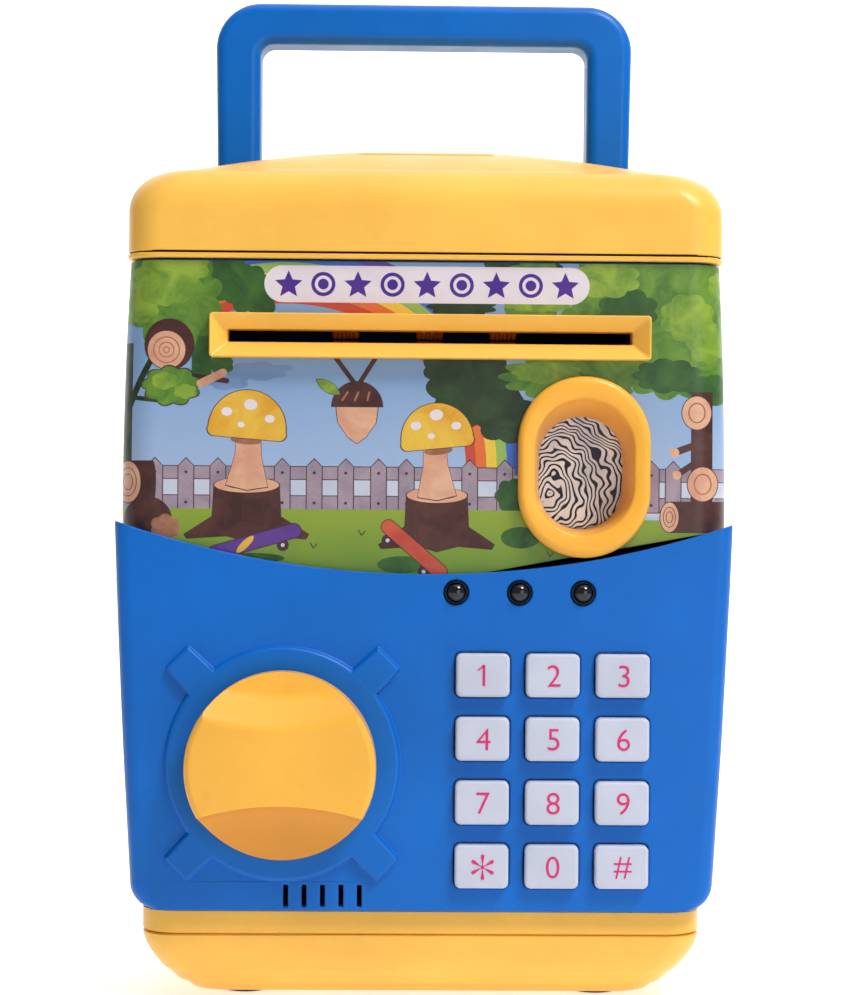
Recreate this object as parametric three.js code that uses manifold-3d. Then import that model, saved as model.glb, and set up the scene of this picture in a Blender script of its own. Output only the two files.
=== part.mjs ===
// Toy cash machine savings bank: a suitcase-like case with a hinged front door.
// Millimetres, +Z up, the front faces -Y, and the origin is the middle of the bounding box's bottom.
import * as THREE from "three";
import { mergeVertices } from "three/addons/utils/BufferGeometryUtils.js";
import Module from "manifold-3d";

const wasm = await Module();
wasm.setup();

// Driving dimensions. Heights are measured from a datum 4 mm above the table, and the whole object is lifted
// by that much at the end, so that its feet stand at z = 0.
const TABLE_Z = -4;
const GAP = 0.3; // between pieces that touch
const WALL = 2.2; // moulded case walls
const BELLY_HALF_WIDTH = 68; // the case's half width where it is widest
const BELLY_Z = 104;
const CASE_FRONT_Y = -48.85;
const CASE_BACK_Y = 65;
const CASE_CORNER = 8; // radius of the case's upright corners
const BASE_BOTTOM_Z = TABLE_Z + 0.8;
const CASE_BOTTOM_Z = 17;
const CAP_SEAM_Z = 161.9; // the cap's lower edge
const CREST_Z = 193; // top of the domed cap
const LABEL_THICK = 0.35;
const LABEL_INSET = LABEL_THICK + GAP;
const DOOR_FACE_Y = -51;
const DOOR_THICK = 1.8;
const DOOR_DEPTH = 9.5; // how far the door's side flanges reach back
const DOOR_BOTTOM_Z = 17.2;
const DOOR_INNER_Y = DOOR_FACE_Y + DOOR_THICK;
const SMILE_LOW_Z = 92; // the door's curved top edge in the middle
const SMILE_RADIUS = 213;
const OPENING_TOP_Z = 91.3; // the cash compartment's top edge, hidden behind the door
const HINGE_X = 62.7;
const HINGE_Y = -42;
const HINGE_PIN_RADIUS = 1.25;
const HINGE_PIN_Z = { upper: [85.5, 96.5], lower: [19.6, 30] };
const KNUCKLE_Z = { upper: [85.5, 90.9], lower: [24.4, 30] }; // the door's own knuckles
const LUG_Z = [19.6, 24]; // the case's lug under the lower knuckle
const SPLIT_Y = -35.4; // where the side walls of the rear shell begin
const KNOB_X = -31.1;
const KNOB_Z = 49.9;
const KNOB_RADIUS = 20.8;
const KNOB_FRONT_Y = -65;
const RING_RADIUS = 25.9;
const RING_RISE = 1.6;
const KEY_OUTLINE = { width: 11.9, height: 9.6, radius: 1.3 };
const KEY_PITCH_X = 15.5;
const KEY_PITCH_Z = 14.1;
const KEYPAD_X = 28.6; // the middle column
const KEYPAD_TOP_Z = 69.8; // the top row
const KEY_PROUD = 2.2;
const LAMP_X = [7.1, 21.2, 35.3];
const LAMP_Z = 88;
const LAMP_RADIUS = 2.85;
const SLOT_X = 1;
const SLOT_Z = 144.7;
const SLOT_MOUTH = { width: 90, height: 2.8, radius: 0.6 };
const SLOT_SLEEVE = { width: 96, height: 8, radius: 0.8 }; // the part of the bezel inside the shell's hole
const SLOT_FACE = { width: 98, height: 9.9, radius: 1.2 };
const PRINT_X = 35.4;
const PRINT_Z = 116;
const PRINT_MOUTH = { width: 21, height: 29, radius: 10.4 };
const PRINT_SLEEVE = { width: 25, height: 36, radius: 12.4 };
const PRINT_FACE = { width: 29.5, height: 40.4, radius: 14.7 };
const PRINT_PAD = { width: 20.2, height: 28.2, radius: 10 };
const PAD_Y = [-40, -38.2];
const ROLLER_Y = -38;
const ROLLER_RADIUS = 4.5;
const GEAR_MODULE = 0.7;
const ROLLER_TEETH = 18;
const PINION_TEETH = 12;
const HANDLE_Y = 8;
const HANDLE_HALF_WIDTH = 51;
const HANDLE_LEG = 10.4;
const HANDLE_DEPTH = 12;
const HANDLE_TOP_Z = 230;
const HANDLE_BAR = 11;
const HANDLE_FOOT_Z = 155;
const CELL_RADIUS = 7.1; // AA size
const CELL_LENGTH = 50;
const CELL_PITCH = 15.4;
const CELLS_Y = 7;
const CELL_Z = 8.5;
const CORNER_STEPS = 4;
const ROUND_STEPS = 20;

// Materials.
const plastic = (color, roughness = 0.35) => () =>
  new THREE.MeshStandardMaterial({ color, roughness, metalness: 0 });
const metal = (color, roughness = 0.3) => () =>
  new THREE.MeshStandardMaterial({ color, roughness, metalness: 1 });
const blue = plastic(0x1e71cb);
const yellow = plastic(0xfbcd66);
const white = plastic(0xdfe2f0);
const dark = plastic(0x101014, 0.2);
const grey = plastic(0x6d7076, 0.5);
const rubber = plastic(0xc8692d, 0.8);
const board = plastic(0x1c5a35, 0.5);
const print = plastic(0x8fb4da, 0.4);
const cellSkin = plastic(0x2c2f33, 0.4);
const steel = metal(0xb9bcc0);

// Solids.
function solid(geometry) {
  const bare = geometry.clone();
  bare.deleteAttribute("normal");
  bare.deleteAttribute("uv");
  const merged = mergeVertices(bare);
  const vertProperties = Float32Array.from(merged.attributes.position.array);
  const triVerts = Uint32Array.from(merged.index.array);
  return new wasm.Manifold(new wasm.Mesh({ numProp: 3, vertProperties, triVerts }));
}

const join = (first, ...rest) => rest.reduce((whole, other) => whole.add(other), first);
const cut = (first, ...rest) => rest.reduce((whole, other) => whole.subtract(other), first);

function geometryOf(body) {
  const { vertProperties, triVerts } = body.getMesh();
  const geometry = new THREE.BufferGeometry();
  geometry.setAttribute("position", new THREE.BufferAttribute(vertProperties, 3));
  geometry.setIndex(new THREE.BufferAttribute(triVerts, 1));
  geometry.computeVertexNormals();
  return geometry;
}

function box([x0, x1], [y0, y1], [z0, z1]) {
  const geometry = new THREE.BoxGeometry(x1 - x0, y1 - y0, z1 - z0);
  geometry.translate((x0 + x1) / 2, (y0 + y1) / 2, (z0 + z1) / 2);
  return solid(geometry);
}

// Turned pieces: a profile of [radius, height] points that starts and ends on the axis, which runs along +Z.
function turned(profile, steps = ROUND_STEPS) {
  const points = profile.map(([radius, height]) => new THREE.Vector2(radius, height));
  const geometry = new THREE.LatheGeometry(points, steps);
  geometry.rotateX(Math.PI / 2);
  return geometry;
}

const rodProfile = (radius, from, to) => [[0, from], [radius, from], [radius, to], [0, to]];

function upright(x, y, radius, from, to, steps = ROUND_STEPS) {
  const geometry = turned(rodProfile(radius, from, to), steps);
  geometry.translate(x, y, 0);
  return solid(geometry);
}

// A turned piece whose heights run along +Y, so that a profile's greater heights lie further back.
function turnedBack(x, z, profile, steps = ROUND_STEPS) {
  const geometry = turned(profile, steps);
  geometry.rotateX(-Math.PI / 2);
  geometry.translate(x, 0, z);
  return solid(geometry);
}

const rodBack = (x, z, radius, from, to, steps = ROUND_STEPS) =>
  turnedBack(x, z, rodProfile(radius, from, to), steps);

function turnedAcross(y, z, profile, steps = ROUND_STEPS) {
  const geometry = turned(profile, steps);
  geometry.rotateY(Math.PI / 2);
  geometry.translate(0, y, z);
  return solid(geometry);
}

const rodAcross = (y, z, radius, from, to, steps = ROUND_STEPS) =>
  turnedAcross(y, z, rodProfile(radius, from, to), steps);

// An outline drawn in X and Z, carried back along +Y.
function plate(outline, from, to, curveSegments = CORNER_STEPS) {
  const geometry = new THREE.ExtrudeGeometry(outline, {
    depth: to - from,
    bevelEnabled: false,
    curveSegments,
  });
  geometry.rotateX(Math.PI / 2);
  geometry.translate(0, to, 0);
  return solid(geometry);
}

function roundedOutline(x, z, { width, height, radius }) {
  const outline = new THREE.Shape();
  const [right, up] = [width / 2 - radius, height / 2 - radius];
  outline.absarc(x + right, z + up, radius, 0, Math.PI / 2);
  outline.absarc(x - right, z + up, radius, Math.PI / 2, Math.PI);
  outline.absarc(x - right, z - up, radius, Math.PI, 1.5 * Math.PI);
  outline.absarc(x + right, z - up, radius, 1.5 * Math.PI, 2 * Math.PI);
  return outline;
}

// The same rounded rectangle, larger or smaller by a margin all round.
const widened = ({ width, height, radius }, margin) => ({
  width: width + 2 * margin,
  height: height + 2 * margin,
  radius: radius + margin,
});

// Lofts: rings of points, counter-clockwise from above and given from the bottom up.
function roundedRing(halfWidth, front, back, radius, z) {
  const centres = [
    [halfWidth - radius, back - radius],
    [radius - halfWidth, back - radius],
    [radius - halfWidth, front + radius],
    [halfWidth - radius, front + radius],
  ];
  return centres.flatMap(([x, y], quarter) =>
    Array.from({ length: CORNER_STEPS + 1 }, (_, step) => {
      const angle = ((quarter + step / CORNER_STEPS) * Math.PI) / 2;
      return [x + radius * Math.cos(angle), y + radius * Math.sin(angle), z];
    }),
  );
}

function loft(rings) {
  const around = rings[0].length;
  const points = rings.flat();
  const faces = [];
  for (let level = 0; level + 1 < rings.length; level += 1) {
    for (let step = 0; step < around; step += 1) {
      const next = (step + 1) % around;
      const [low, high] = [level * around, (level + 1) * around];
      faces.push(low + step, low + next, high + next);
      faces.push(low + step, high + next, high + step);
    }
  }
  for (const [level, turn] of [[0, -1], [rings.length - 1, 1]]) {
    const first = level * around;
    const middle = rings[level].reduce((sum, [x, y]) => [sum[0] + x / around, sum[1] + y / around], [0, 0]);
    points.push([...middle, rings[level][0][2]]);
    for (let step = 0; step < around; step += 1) {
      const pair = [first + step, first + ((step + 1) % around)];
      faces.push(points.length - 1, ...(turn > 0 ? pair : pair.reverse()));
    }
  }
  const geometry = new THREE.BufferGeometry();
  geometry.setAttribute("position", new THREE.Float32BufferAttribute(points.flat(), 3));
  geometry.setIndex(faces);
  return solid(geometry);
}

const around = (middle, width) => [middle - width / 2, middle + width / 2];

const spread = (from, to, count) =>
  Array.from({ length: count + 1 }, (_, step) => from + ((to - from) * step) / count);

// The case narrows a little above its belly, and more below it.
function caseHalfWidth(z) {
  const down = BELLY_Z - z;
  return down < 0
    ? BELLY_HALF_WIDTH - 0.000488 * down ** 2
    : BELLY_HALF_WIDTH - 0.036 * down - 0.00018 * down ** 2;
}

function caseBody(inset, bottom, top, levels = 5) {
  return loft(
    spread(bottom, top, levels).map((z) =>
      roundedRing(caseHalfWidth(z) - inset, CASE_FRONT_Y + inset, CASE_BACK_Y - inset, CASE_CORNER - inset, z),
    ),
  );
}

const root = new THREE.Group();
const standing = new THREE.Group();
standing.position.z = -TABLE_Z;
root.add(standing);
const mirrored = [["left", -1], ["right", 1]];

function add(name, body, material, parent = standing) {
  const mesh = new THREE.Mesh(geometryOf(body), material());
  mesh.name = name;
  parent.add(mesh);
  return mesh;
}

// Case: a rear shell with the sides and back, and a front shell that carries the label.
const everywhere = [-200, 200];
const inFront = [-100, SPLIT_Y];
const SCREW_SPOTS = [[-46, -12], [46, -12], [-46, 34], [46, 34]];
const SCREW_BORE = 1.8;
const LIP_X = [53.2, 54.7]; // lips inside the case that the door's liner passes between
const LIP_Y = [-45, SPLIT_Y + 3];
const LIP_Z = [20, OPENING_TOP_Z - GAP];
const LUG_RADIUS = 2.6;
const hingeBore = (from, to) => upright(HINGE_X, HINGE_Y, HINGE_PIN_RADIUS + GAP, from, to, 16);

function doorLip(side) {
  const [near, far] = side < 0 ? [-LIP_X[1], -LIP_X[0]] : LIP_X;
  const webX = side < 0 ? [-BELLY_HALF_WIDTH, far] : [near, BELLY_HALF_WIDTH];
  const flange = box([near, far], LIP_Y, LIP_Z);
  const web = box(webX, [SPLIT_Y, LIP_Y[1]], LIP_Z);
  return join(flange, web);
}

function rearShell() {
  const walls = cut(
    caseBody(0, CASE_BOTTOM_Z, CAP_SEAM_Z - GAP),
    caseBody(WALL, CASE_BOTTOM_Z - 1, CAP_SEAM_Z + 1),
    box([0, 200], inFront, everywhere),
    box(everywhere, inFront, [OPENING_TOP_Z - GAP, 200]),
    box(everywhere, [-100, DOOR_FACE_Y + DOOR_DEPTH + GAP], everywhere),
  );
  const lug = join(
    upright(HINGE_X, HINGE_Y, LUG_RADIUS, ...LUG_Z, 16),
    box([LIP_X[0] + 0.8, HINGE_X + 1], [HINGE_Y - 2, SPLIT_Y + 2], LUG_Z),
  );
  const inside = caseBody(0.5, CASE_BOTTOM_Z, CAP_SEAM_Z - GAP);
  const lips = mirrored.map(([, side]) => doorLip(side).intersect(inside));
  return cut(join(walls, ...lips, lug), hingeBore(LUG_Z[0] - 1, LUG_Z[1] + 1));
}

const throughFront = [-60, -40];
const bezelHole = () => plate(roundedOutline(SLOT_X, SLOT_Z, widened(SLOT_SLEEVE, GAP)), ...throughFront, 2);
const printHole = () => plate(roundedOutline(PRINT_X, PRINT_Z, widened(PRINT_SLEEVE, GAP)), ...throughFront);

function upperFrontShell() {
  const walls = cut(
    caseBody(LABEL_INSET, OPENING_TOP_Z, CAP_SEAM_Z - GAP),
    caseBody(LABEL_INSET + WALL, OPENING_TOP_Z - 1, CAP_SEAM_Z + 1),
    box(everywhere, [SPLIT_Y - GAP, 100], everywhere),
  );
  const bossTop = HINGE_PIN_Z.upper[1] + 2.5;
  const boss = upright(HINGE_X, HINGE_Y, 3.6, OPENING_TOP_Z, bossTop, 16);
  const outer = caseBody(LABEL_INSET, OPENING_TOP_Z, CAP_SEAM_Z - GAP);
  const bore = hingeBore(OPENING_TOP_Z - 1, HINGE_PIN_Z.upper[1] + 0.5);
  return cut(join(walls, boss.intersect(outer)), bezelHole(), printHole(), bore);
}

function sceneryLabel() {
  const sheet = cut(
    caseBody(0, OPENING_TOP_Z + GAP, CAP_SEAM_Z - 2 * GAP),
    caseBody(LABEL_THICK, OPENING_TOP_Z - 1, CAP_SEAM_Z + 1),
    box(everywhere, [SPLIT_Y - 2 * GAP, 100], everywhere),
  );
  return cut(sheet, bezelHole(), printHole());
}

// Cap: upright walls, a rounded shoulder and a shallow crown.
const CAP_HALF_WIDTH = 67;
const CAP_FRONT_Y = -49.9;
const CAP_WALL_TOP_Z = 175;
const SHOULDER = [9, 11.2]; // how far it runs in and up
const COIN_SLOT = { width: 32, height: 3.5, radius: 1.7 };
const COIN_SLOT_Y = -20;
const throughCap = [150, 220];

function capBody(inset, bottom) {
  const middle = (CAP_FRONT_Y + CASE_BACK_Y) / 2;
  const halfDepth = (CASE_BACK_Y - CAP_FRONT_Y) / 2;
  const ring = (run, z, radius) =>
    roundedRing(
      CAP_HALF_WIDTH - inset - run,
      middle - halfDepth + inset + run,
      middle + halfDepth - inset - run,
      radius,
      z - inset,
    );
  const rings = [ring(0, bottom + inset, CASE_CORNER)];
  for (const turn of spread(0, Math.PI / 2, 4)) {
    const run = SHOULDER[0] * (1 - Math.cos(turn));
    rings.push(ring(run, CAP_WALL_TOP_Z + SHOULDER[1] * Math.sin(turn), CASE_CORNER + 4 * Math.sin(turn)));
  }
  const crown = CREST_Z - CAP_WALL_TOP_Z - SHOULDER[1];
  for (const share of [0.75, 0.5, 0.25, 0.02]) {
    const halfWidth = (CAP_HALF_WIDTH - inset - SHOULDER[0]) * share;
    const reach = (halfDepth - inset - SHOULDER[0]) * share;
    const z = CREST_Z - crown * share ** 2 - inset;
    rings.push(roundedRing(halfWidth, middle - reach, middle + reach, (CASE_CORNER + 4) * share, z));
  }
  return loft(rings);
}

const legX = (side) => side * (HANDLE_HALF_WIDTH - HANDLE_LEG / 2);
const legHole = (side, spare, z) =>
  box(around(legX(side), HANDLE_LEG + spare), around(HANDLE_Y, HANDLE_DEPTH + spare), z);

function topCap() {
  const coinSlot = plateUp(roundedOutline(0, COIN_SLOT_Y, COIN_SLOT), ...throughCap);
  const shell = cut(capBody(0, CAP_SEAM_Z), capBody(WALL, CAP_SEAM_Z - 1));
  return cut(shell, coinSlot, ...mirrored.map(([, side]) => legHole(side, 2 * GAP, throughCap)));
}

// An outline drawn in X and Y, carried up along +Z.
function plateUp(outline, from, to) {
  const geometry = new THREE.ExtrudeGeometry(outline, {
    depth: to - from,
    bevelEnabled: false,
    curveSegments: CORNER_STEPS,
  });
  geometry.translate(0, 0, from);
  return solid(geometry);
}

// Base tray: a shallow bowl whose rounded side runs in towards the bottom.
const BASE_SIDE_Z = 13;
const BASE_HALF_WIDTH = 62.7;
const BASE_Y = [-48.5, 63.5];
const BASE_RUN_IN = 9.6;
const COVER_X = [-31, 38];
const COVER_Y = around(CELLS_Y, 52);
const COVER_SCREW_X = 33;
const SCREW_POST_RADIUS = 4.2;
const FOOT_RADIUS = 6;
const FOOT_TOP_Z = TABLE_Z + 1.7;

const baseRing = (inset, z) =>
  roundedRing(BASE_HALF_WIDTH - inset, BASE_Y[0] + inset, BASE_Y[1] - inset, CASE_CORNER, z);

function baseBody(inset, bottom) {
  const rings = spread(bottom, BASE_SIDE_Z, 5).map((z) => {
    const share = (z - BASE_BOTTOM_Z) / (BASE_SIDE_Z - BASE_BOTTOM_Z);
    const run = BASE_RUN_IN * Math.max(0, 1 - share) ** 1.6 + inset;
    return baseRing(run, z);
  });
  return loft([...rings, baseRing(inset, CASE_BOTTOM_Z - GAP)]);
}

const FOOT_SPOTS = [[-40, -30], [40, -30], [-40, 46], [40, 46]];

function baseTray() {
  const hollow = baseBody(WALL, BASE_BOTTOM_Z + WALL).add(
    box([-55, 55], [-42, 57], [CASE_BOTTOM_Z - 2, CASE_BOTTOM_Z + 2]),
  );
  const posts = SCREW_SPOTS.map(([x, y]) =>
    upright(x, y, SCREW_POST_RADIUS, BASE_BOTTOM_Z, CASE_BOTTOM_Z - GAP, 12),
  );
  const pockets = FOOT_SPOTS.map(([x, y]) => upright(x, y, FOOT_RADIUS + GAP, TABLE_Z, FOOT_TOP_Z + GAP, 16));
  const heads = SCREW_SPOTS.map(([x, y]) => upright(x, y, 3.1, TABLE_Z, TABLE_Z + 6, 12));
  const holes = SCREW_SPOTS.map(([x, y]) => upright(x, y, SCREW_BORE, TABLE_Z, CASE_BOTTOM_Z + 1, 12));
  const shell = join(cut(baseBody(0, BASE_BOTTOM_Z), hollow), ...posts);
  return cut(shell, ...pockets, ...heads, ...holes, box(COVER_X, COVER_Y, [TABLE_Z - 1, TABLE_Z + 4]));
}

function screw(radius, headRadius, headFrom, headTo, tip) {
  const head = [[0, headFrom], [headRadius, headFrom], [headRadius, headTo]];
  return solid(turned([...head, [radius, headTo], [radius, tip], [0, tip]], 12));
}

function caseFloor() {
  const [under, top] = [19.5, 21.2];
  const sheet = caseBody(WALL + GAP, under, top, 1);
  const behindLips = box(everywhere, [-100, LIP_Y[1] + GAP], everywhere);
  const bosses = SCREW_SPOTS.map(([x, y]) => upright(x, y, 4, CASE_BOTTOM_Z, under + 0.5, 12));
  const bores = SCREW_SPOTS.map(([x, y]) => upright(x, y, SCREW_BORE, CASE_BOTTOM_Z - 1, top - 0.8, 12));
  return cut(join(cut(sheet, behindLips), ...bosses), ...bores);
}

add("rear_shell", rearShell(), blue);
add("upper_front_shell", upperFrontShell(), blue);
add("scenery_label", sceneryLabel(), print);
add("top_cap", topCap(), yellow);
add("base_tray", baseTray(), yellow);
add("inner_floor", caseFloor(), grey);
SCREW_SPOTS.forEach(([x, y], index) => {
  const mesh = add(`case_screw_${index + 1}`, screw(1.5, 2.7, TABLE_Z + 3.9, TABLE_Z + 5.7, 20), steel);
  mesh.position.set(x, y, 0);
});
FOOT_SPOTS.forEach(([x, y], index) => {
  const pad = solid(turned(rodProfile(FOOT_RADIUS, TABLE_Z, FOOT_TOP_Z), 16));
  const mesh = add(`foot_${index + 1}`, pad, grey);
  mesh.position.set(x, y, 0);
});

// Bezels.
function slotBezel() {
  const [faceY, backY] = [-52.2, -44];
  const face = plate(roundedOutline(SLOT_X, SLOT_Z, SLOT_FACE), faceY, CASE_FRONT_Y - GAP, 2);
  const sleeve = plate(roundedOutline(SLOT_X, SLOT_Z, SLOT_SLEEVE), CASE_FRONT_Y - GAP, backY, 2);
  const mouth = plate(roundedOutline(SLOT_X, SLOT_Z, SLOT_MOUTH), ...throughFront, 2);
  return cut(join(face, sleeve), mouth);
}

function fingerprintBezel() {
  const [faceY, backY] = [-51.8, -36.4];
  const face = plate(roundedOutline(PRINT_X, PRINT_Z, PRINT_FACE), faceY, CASE_FRONT_Y - GAP, 6);
  const sleeve = plate(roundedOutline(PRINT_X, PRINT_Z, PRINT_SLEEVE), CASE_FRONT_Y - GAP, backY, 6);
  return cut(join(face, sleeve), plate(roundedOutline(PRINT_X, PRINT_Z, PRINT_MOUTH), -60, 0, 6));
}

const pad = plate(roundedOutline(0, 0, PRINT_PAD), ...PAD_Y, 6);
add("slot_bezel", slotBezel(), yellow);
add("fingerprint_bezel", fingerprintBezel(), yellow);
add("fingerprint_pad", pad, metal(0xa9adb5)).position.set(PRINT_X, 0, PRINT_Z);
const switchBoardY = [PAD_Y[1] + 2.2, PAD_Y[1] + 3.6];
add("fingerprint_switch_board", box(around(PRINT_X, 24), switchBoardY, around(PRINT_Z, 34)), board);

// Door.
function doorHalfWidth(z) {
  return caseHalfWidth(Math.min(z, BELLY_Z)) + 1;
}

function doorRings(inset, bottom, top) {
  return loft(
    spread(bottom, top, 5).map((z) =>
      roundedRing(doorHalfWidth(z) - inset, DOOR_FACE_Y + inset, 0, 3.2 - inset, z),
    ),
  );
}

// Everything below the door's curved top edge.
function underSmile() {
  const outline = new THREE.Shape();
  const reach = Math.asin(75 / SMILE_RADIUS);
  outline.moveTo(-75, -10);
  outline.lineTo(75, -10);
  outline.absarc(0, SMILE_LOW_Z + SMILE_RADIUS, SMILE_RADIUS, reach - Math.PI / 2, -reach - Math.PI / 2, true);
  outline.closePath();
  return plate(outline, -90, 20, 16);
}

function knobRing() {
  const from = DOOR_FACE_Y - RING_RISE;
  const [reach, halfRoot, halfTip] = [33.2, 4.7, 3.4];
  const corners = [[0, -halfRoot], [reach, -halfTip], [reach, halfTip], [0, halfRoot]];
  const tab = new THREE.Shape(corners.map(([x, z]) => new THREE.Vector2(x, z)));
  const tabs = [45, 135, 225, 315].map((degrees) => {
    const geometry = new THREE.ExtrudeGeometry(tab, { depth: RING_RISE + 1, bevelEnabled: false });
    geometry.rotateZ(THREE.MathUtils.degToRad(degrees));
    geometry.rotateX(Math.PI / 2);
    geometry.translate(KNOB_X, DOOR_FACE_Y + 1, KNOB_Z);
    return solid(geometry);
  });
  return join(rodBack(KNOB_X, KNOB_Z, RING_RADIUS, from, DOOR_FACE_Y + 1, 36), ...tabs);
}

const keySpots = ["1", "2", "3", "4", "5", "6", "7", "8", "9", "star", "0", "hash"].map((name, index) => ({
  name,
  x: KEYPAD_X + ((index % 3) - 1) * KEY_PITCH_X,
  z: KEYPAD_TOP_Z - Math.floor(index / 3) * KEY_PITCH_Z,
}));

const SLITS_X = spread(-30.2, -13.9, 4); // speaker slits below the knob
const SLIT_WIDTH = 1.1;
const SLIT_Z = [18.9, 24.3];
const SPINDLE_RADIUS = 2.9;
const spindleHole = (from, to) => rodBack(KNOB_X, KNOB_Z, SPINDLE_RADIUS + 0.4, from, to, 16);

function frontDoor() {
  const panel = cut(
    doorRings(0, DOOR_BOTTOM_Z, 108),
    doorRings(DOOR_THICK, DOOR_BOTTOM_Z + DOOR_THICK, 110),
    box(everywhere, [DOOR_FACE_Y + DOOR_DEPTH, 100], everywhere),
    box(everywhere, [DOOR_INNER_Y, 100], [OPENING_TOP_Z - GAP, 150]),
  ).intersect(underSmile());
  const knuckles = Object.values(KNUCKLE_Z).map((z) =>
    join(
      upright(HINGE_X, HINGE_Y, 2.9, ...z, 16),
      box([HINGE_X - 2.4, HINGE_X + 1.2], [DOOR_INNER_Y - 0.5, HINGE_Y], z),
    ),
  );
  const bores = Object.values(KNUCKLE_Z).map(([from, to]) => hingeBore(from - 1, to + 1));
  const lugRoom = box([HINGE_X - 4, 72], [HINGE_Y - 5, HINGE_Y + 2], [LUG_Z[0] - 0.4, KNUCKLE_Z.lower[0]]);
  const throughFace = [-60, DOOR_INNER_Y + 0.5];
  const keyHoles = keySpots.map(({ x, z }) =>
    plate(roundedOutline(x, z, widened(KEY_OUTLINE, GAP)), ...throughFace, 2),
  );
  const lampHoles = LAMP_X.map((x) => rodBack(x, LAMP_Z, LAMP_RADIUS + GAP, ...throughFace, 12));
  const slits = SLITS_X.map((x) => box(around(x, SLIT_WIDTH), throughFace, SLIT_Z));
  const keyed = cut(join(panel, knobRing(), ...knuckles), ...bores, lugRoom, ...keyHoles, ...lampHoles);
  return cut(keyed, ...slits, spindleHole(...throughFront));
}

// A tray behind the door's face that closes in the keypad, the speaker and the lock.
const LINER_BACK_Y = -38;

function doorLiner() {
  const thick = 1.5;
  const halfWidth = LIP_X[0] - 1.1;
  const front = DOOR_INNER_Y + GAP;
  const [low, high] = [DOOR_BOTTOM_Z + 2.3, 84.5];
  const outer = box([-halfWidth, halfWidth], [front, LINER_BACK_Y], [low, high]);
  const innerX = [thick - halfWidth, halfWidth - thick];
  const inner = box(innerX, [front - 1, LINER_BACK_Y - thick], [low + thick, high - thick]);
  return cut(outer, inner, spindleHole(-45, -30));
}

const doorGroup = new THREE.Group();
standing.add(doorGroup);
add("front_door", frontDoor(), blue, doorGroup);
add("door_liner", doorLiner(), grey, doorGroup);
const keypadX = around(KEYPAD_X, 43.2);
const keypadZ = [21.6, 77];
const BEHIND_FACE_Y = DOOR_INNER_Y + 0.6; // where the speaker and the lock begin
add("keypad_membrane", box(keypadX, [-45.8, -44.8], keypadZ), grey, doorGroup);
add("keypad_board", box(keypadX, [-44.4, -42.8], keypadZ), board, doorGroup);
add("speaker", rodBack(-21, 31.8, 10, BEHIND_FACE_Y, -43), dark, doorGroup);
add("lock_solenoid", box([-50, -26], [BEHIND_FACE_Y, LINER_BACK_Y - 2], [68, 80]), steel, doorGroup);

const LAMP_DOME = 2;
const LAMP_Y = [-52.6, -46.5];
const lampProfile = [[0, LAMP_Y[0]]];
for (const turn of spread(0.4, Math.PI / 2, 2)) {
  lampProfile.push([LAMP_RADIUS * Math.sin(turn), LAMP_Y[0] + LAMP_DOME * (1 - Math.cos(turn))]);
}
lampProfile.push([LAMP_RADIUS, LAMP_Y[1]], [0, LAMP_Y[1]]);
LAMP_X.forEach((x, index) => {
  const mesh = add(`indicator_lamp_${index + 1}`, turnedBack(0, 0, lampProfile, 12), dark, doorGroup);
  mesh.position.set(x, 0, LAMP_Z);
});

for (const [name, z] of Object.entries(HINGE_PIN_Z)) {
  add(`hinge_pin_${name}`, upright(HINGE_X, HINGE_Y, HINGE_PIN_RADIUS, ...z, 16), steel);
}

// Keys: a crowned cap in front of a body with a lip above and below, which holds it in the door.
function keyCap() {
  const lipY = [DOOR_INNER_Y + 0.4, DOOR_INNER_Y + 1.3];
  const face = plate(roundedOutline(0, 0, KEY_OUTLINE), DOOR_FACE_Y - KEY_PROUD, lipY[0] + 0.1, 2);
  return join(face, box(around(0, KEY_OUTLINE.width), lipY, around(0, KEY_OUTLINE.height + 2.2)));
}

keySpots.forEach(({ name, x, z }) => {
  add(`key_${name}`, keyCap(), white, doorGroup).position.set(x, 0, z);
});

// Knob: a disc with a scoop above and below, which leave a grip bar across the middle.
function doorKnob() {
  const backY = DOOR_FACE_Y - RING_RISE - 0.4;
  const floorY = backY - 4.5;
  const edge = [1.2, 2]; // how far the rim's edge slopes in and back
  const slope = [[KNOB_RADIUS - edge[0], KNOB_FRONT_Y], [KNOB_RADIUS, KNOB_FRONT_Y + edge[1]]];
  const disc = turnedBack(0, 0, [[0, KNOB_FRONT_Y], ...slope, [KNOB_RADIUS, backY], [0, backY]], 32);
  const [scoopRadius, halfBar] = [60, 7.7];
  const scoops = [-1, 1].map((side) =>
    rodBack(0, side * (scoopRadius + halfBar), scoopRadius, KNOB_FRONT_Y - 1, floorY, 64),
  );
  return cut(disc, ...scoops);
}

add("door_knob", doorKnob(), yellow, doorGroup).position.set(KNOB_X, 0, KNOB_Z);
const STRIKER_Y = [LIP_Y[1] + GAP, LIP_Y[1] + GAP + 1.4];
const CAM_Y = [STRIKER_Y[1] + GAP, STRIKER_Y[1] + 2.3];
const CAM_LENGTH = 19;
const spindleY = [DOOR_FACE_Y - RING_RISE - 0.1, CAM_Y[0] - 0.6];
const cam = join(rodBack(0, 0, 5, ...CAM_Y, 16), box([-3.5, 3.5], CAM_Y, [-CAM_LENGTH, 0]));
add("knob_spindle", rodBack(KNOB_X, KNOB_Z, SPINDLE_RADIUS, ...spindleY, 16), steel, doorGroup);
add("latch_cam", cam, steel, doorGroup).position.set(KNOB_X, 0, KNOB_Z);
add("latch_striker", box([-60, -44], STRIKER_Y, around(KNOB_Z, 14)), steel);

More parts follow.
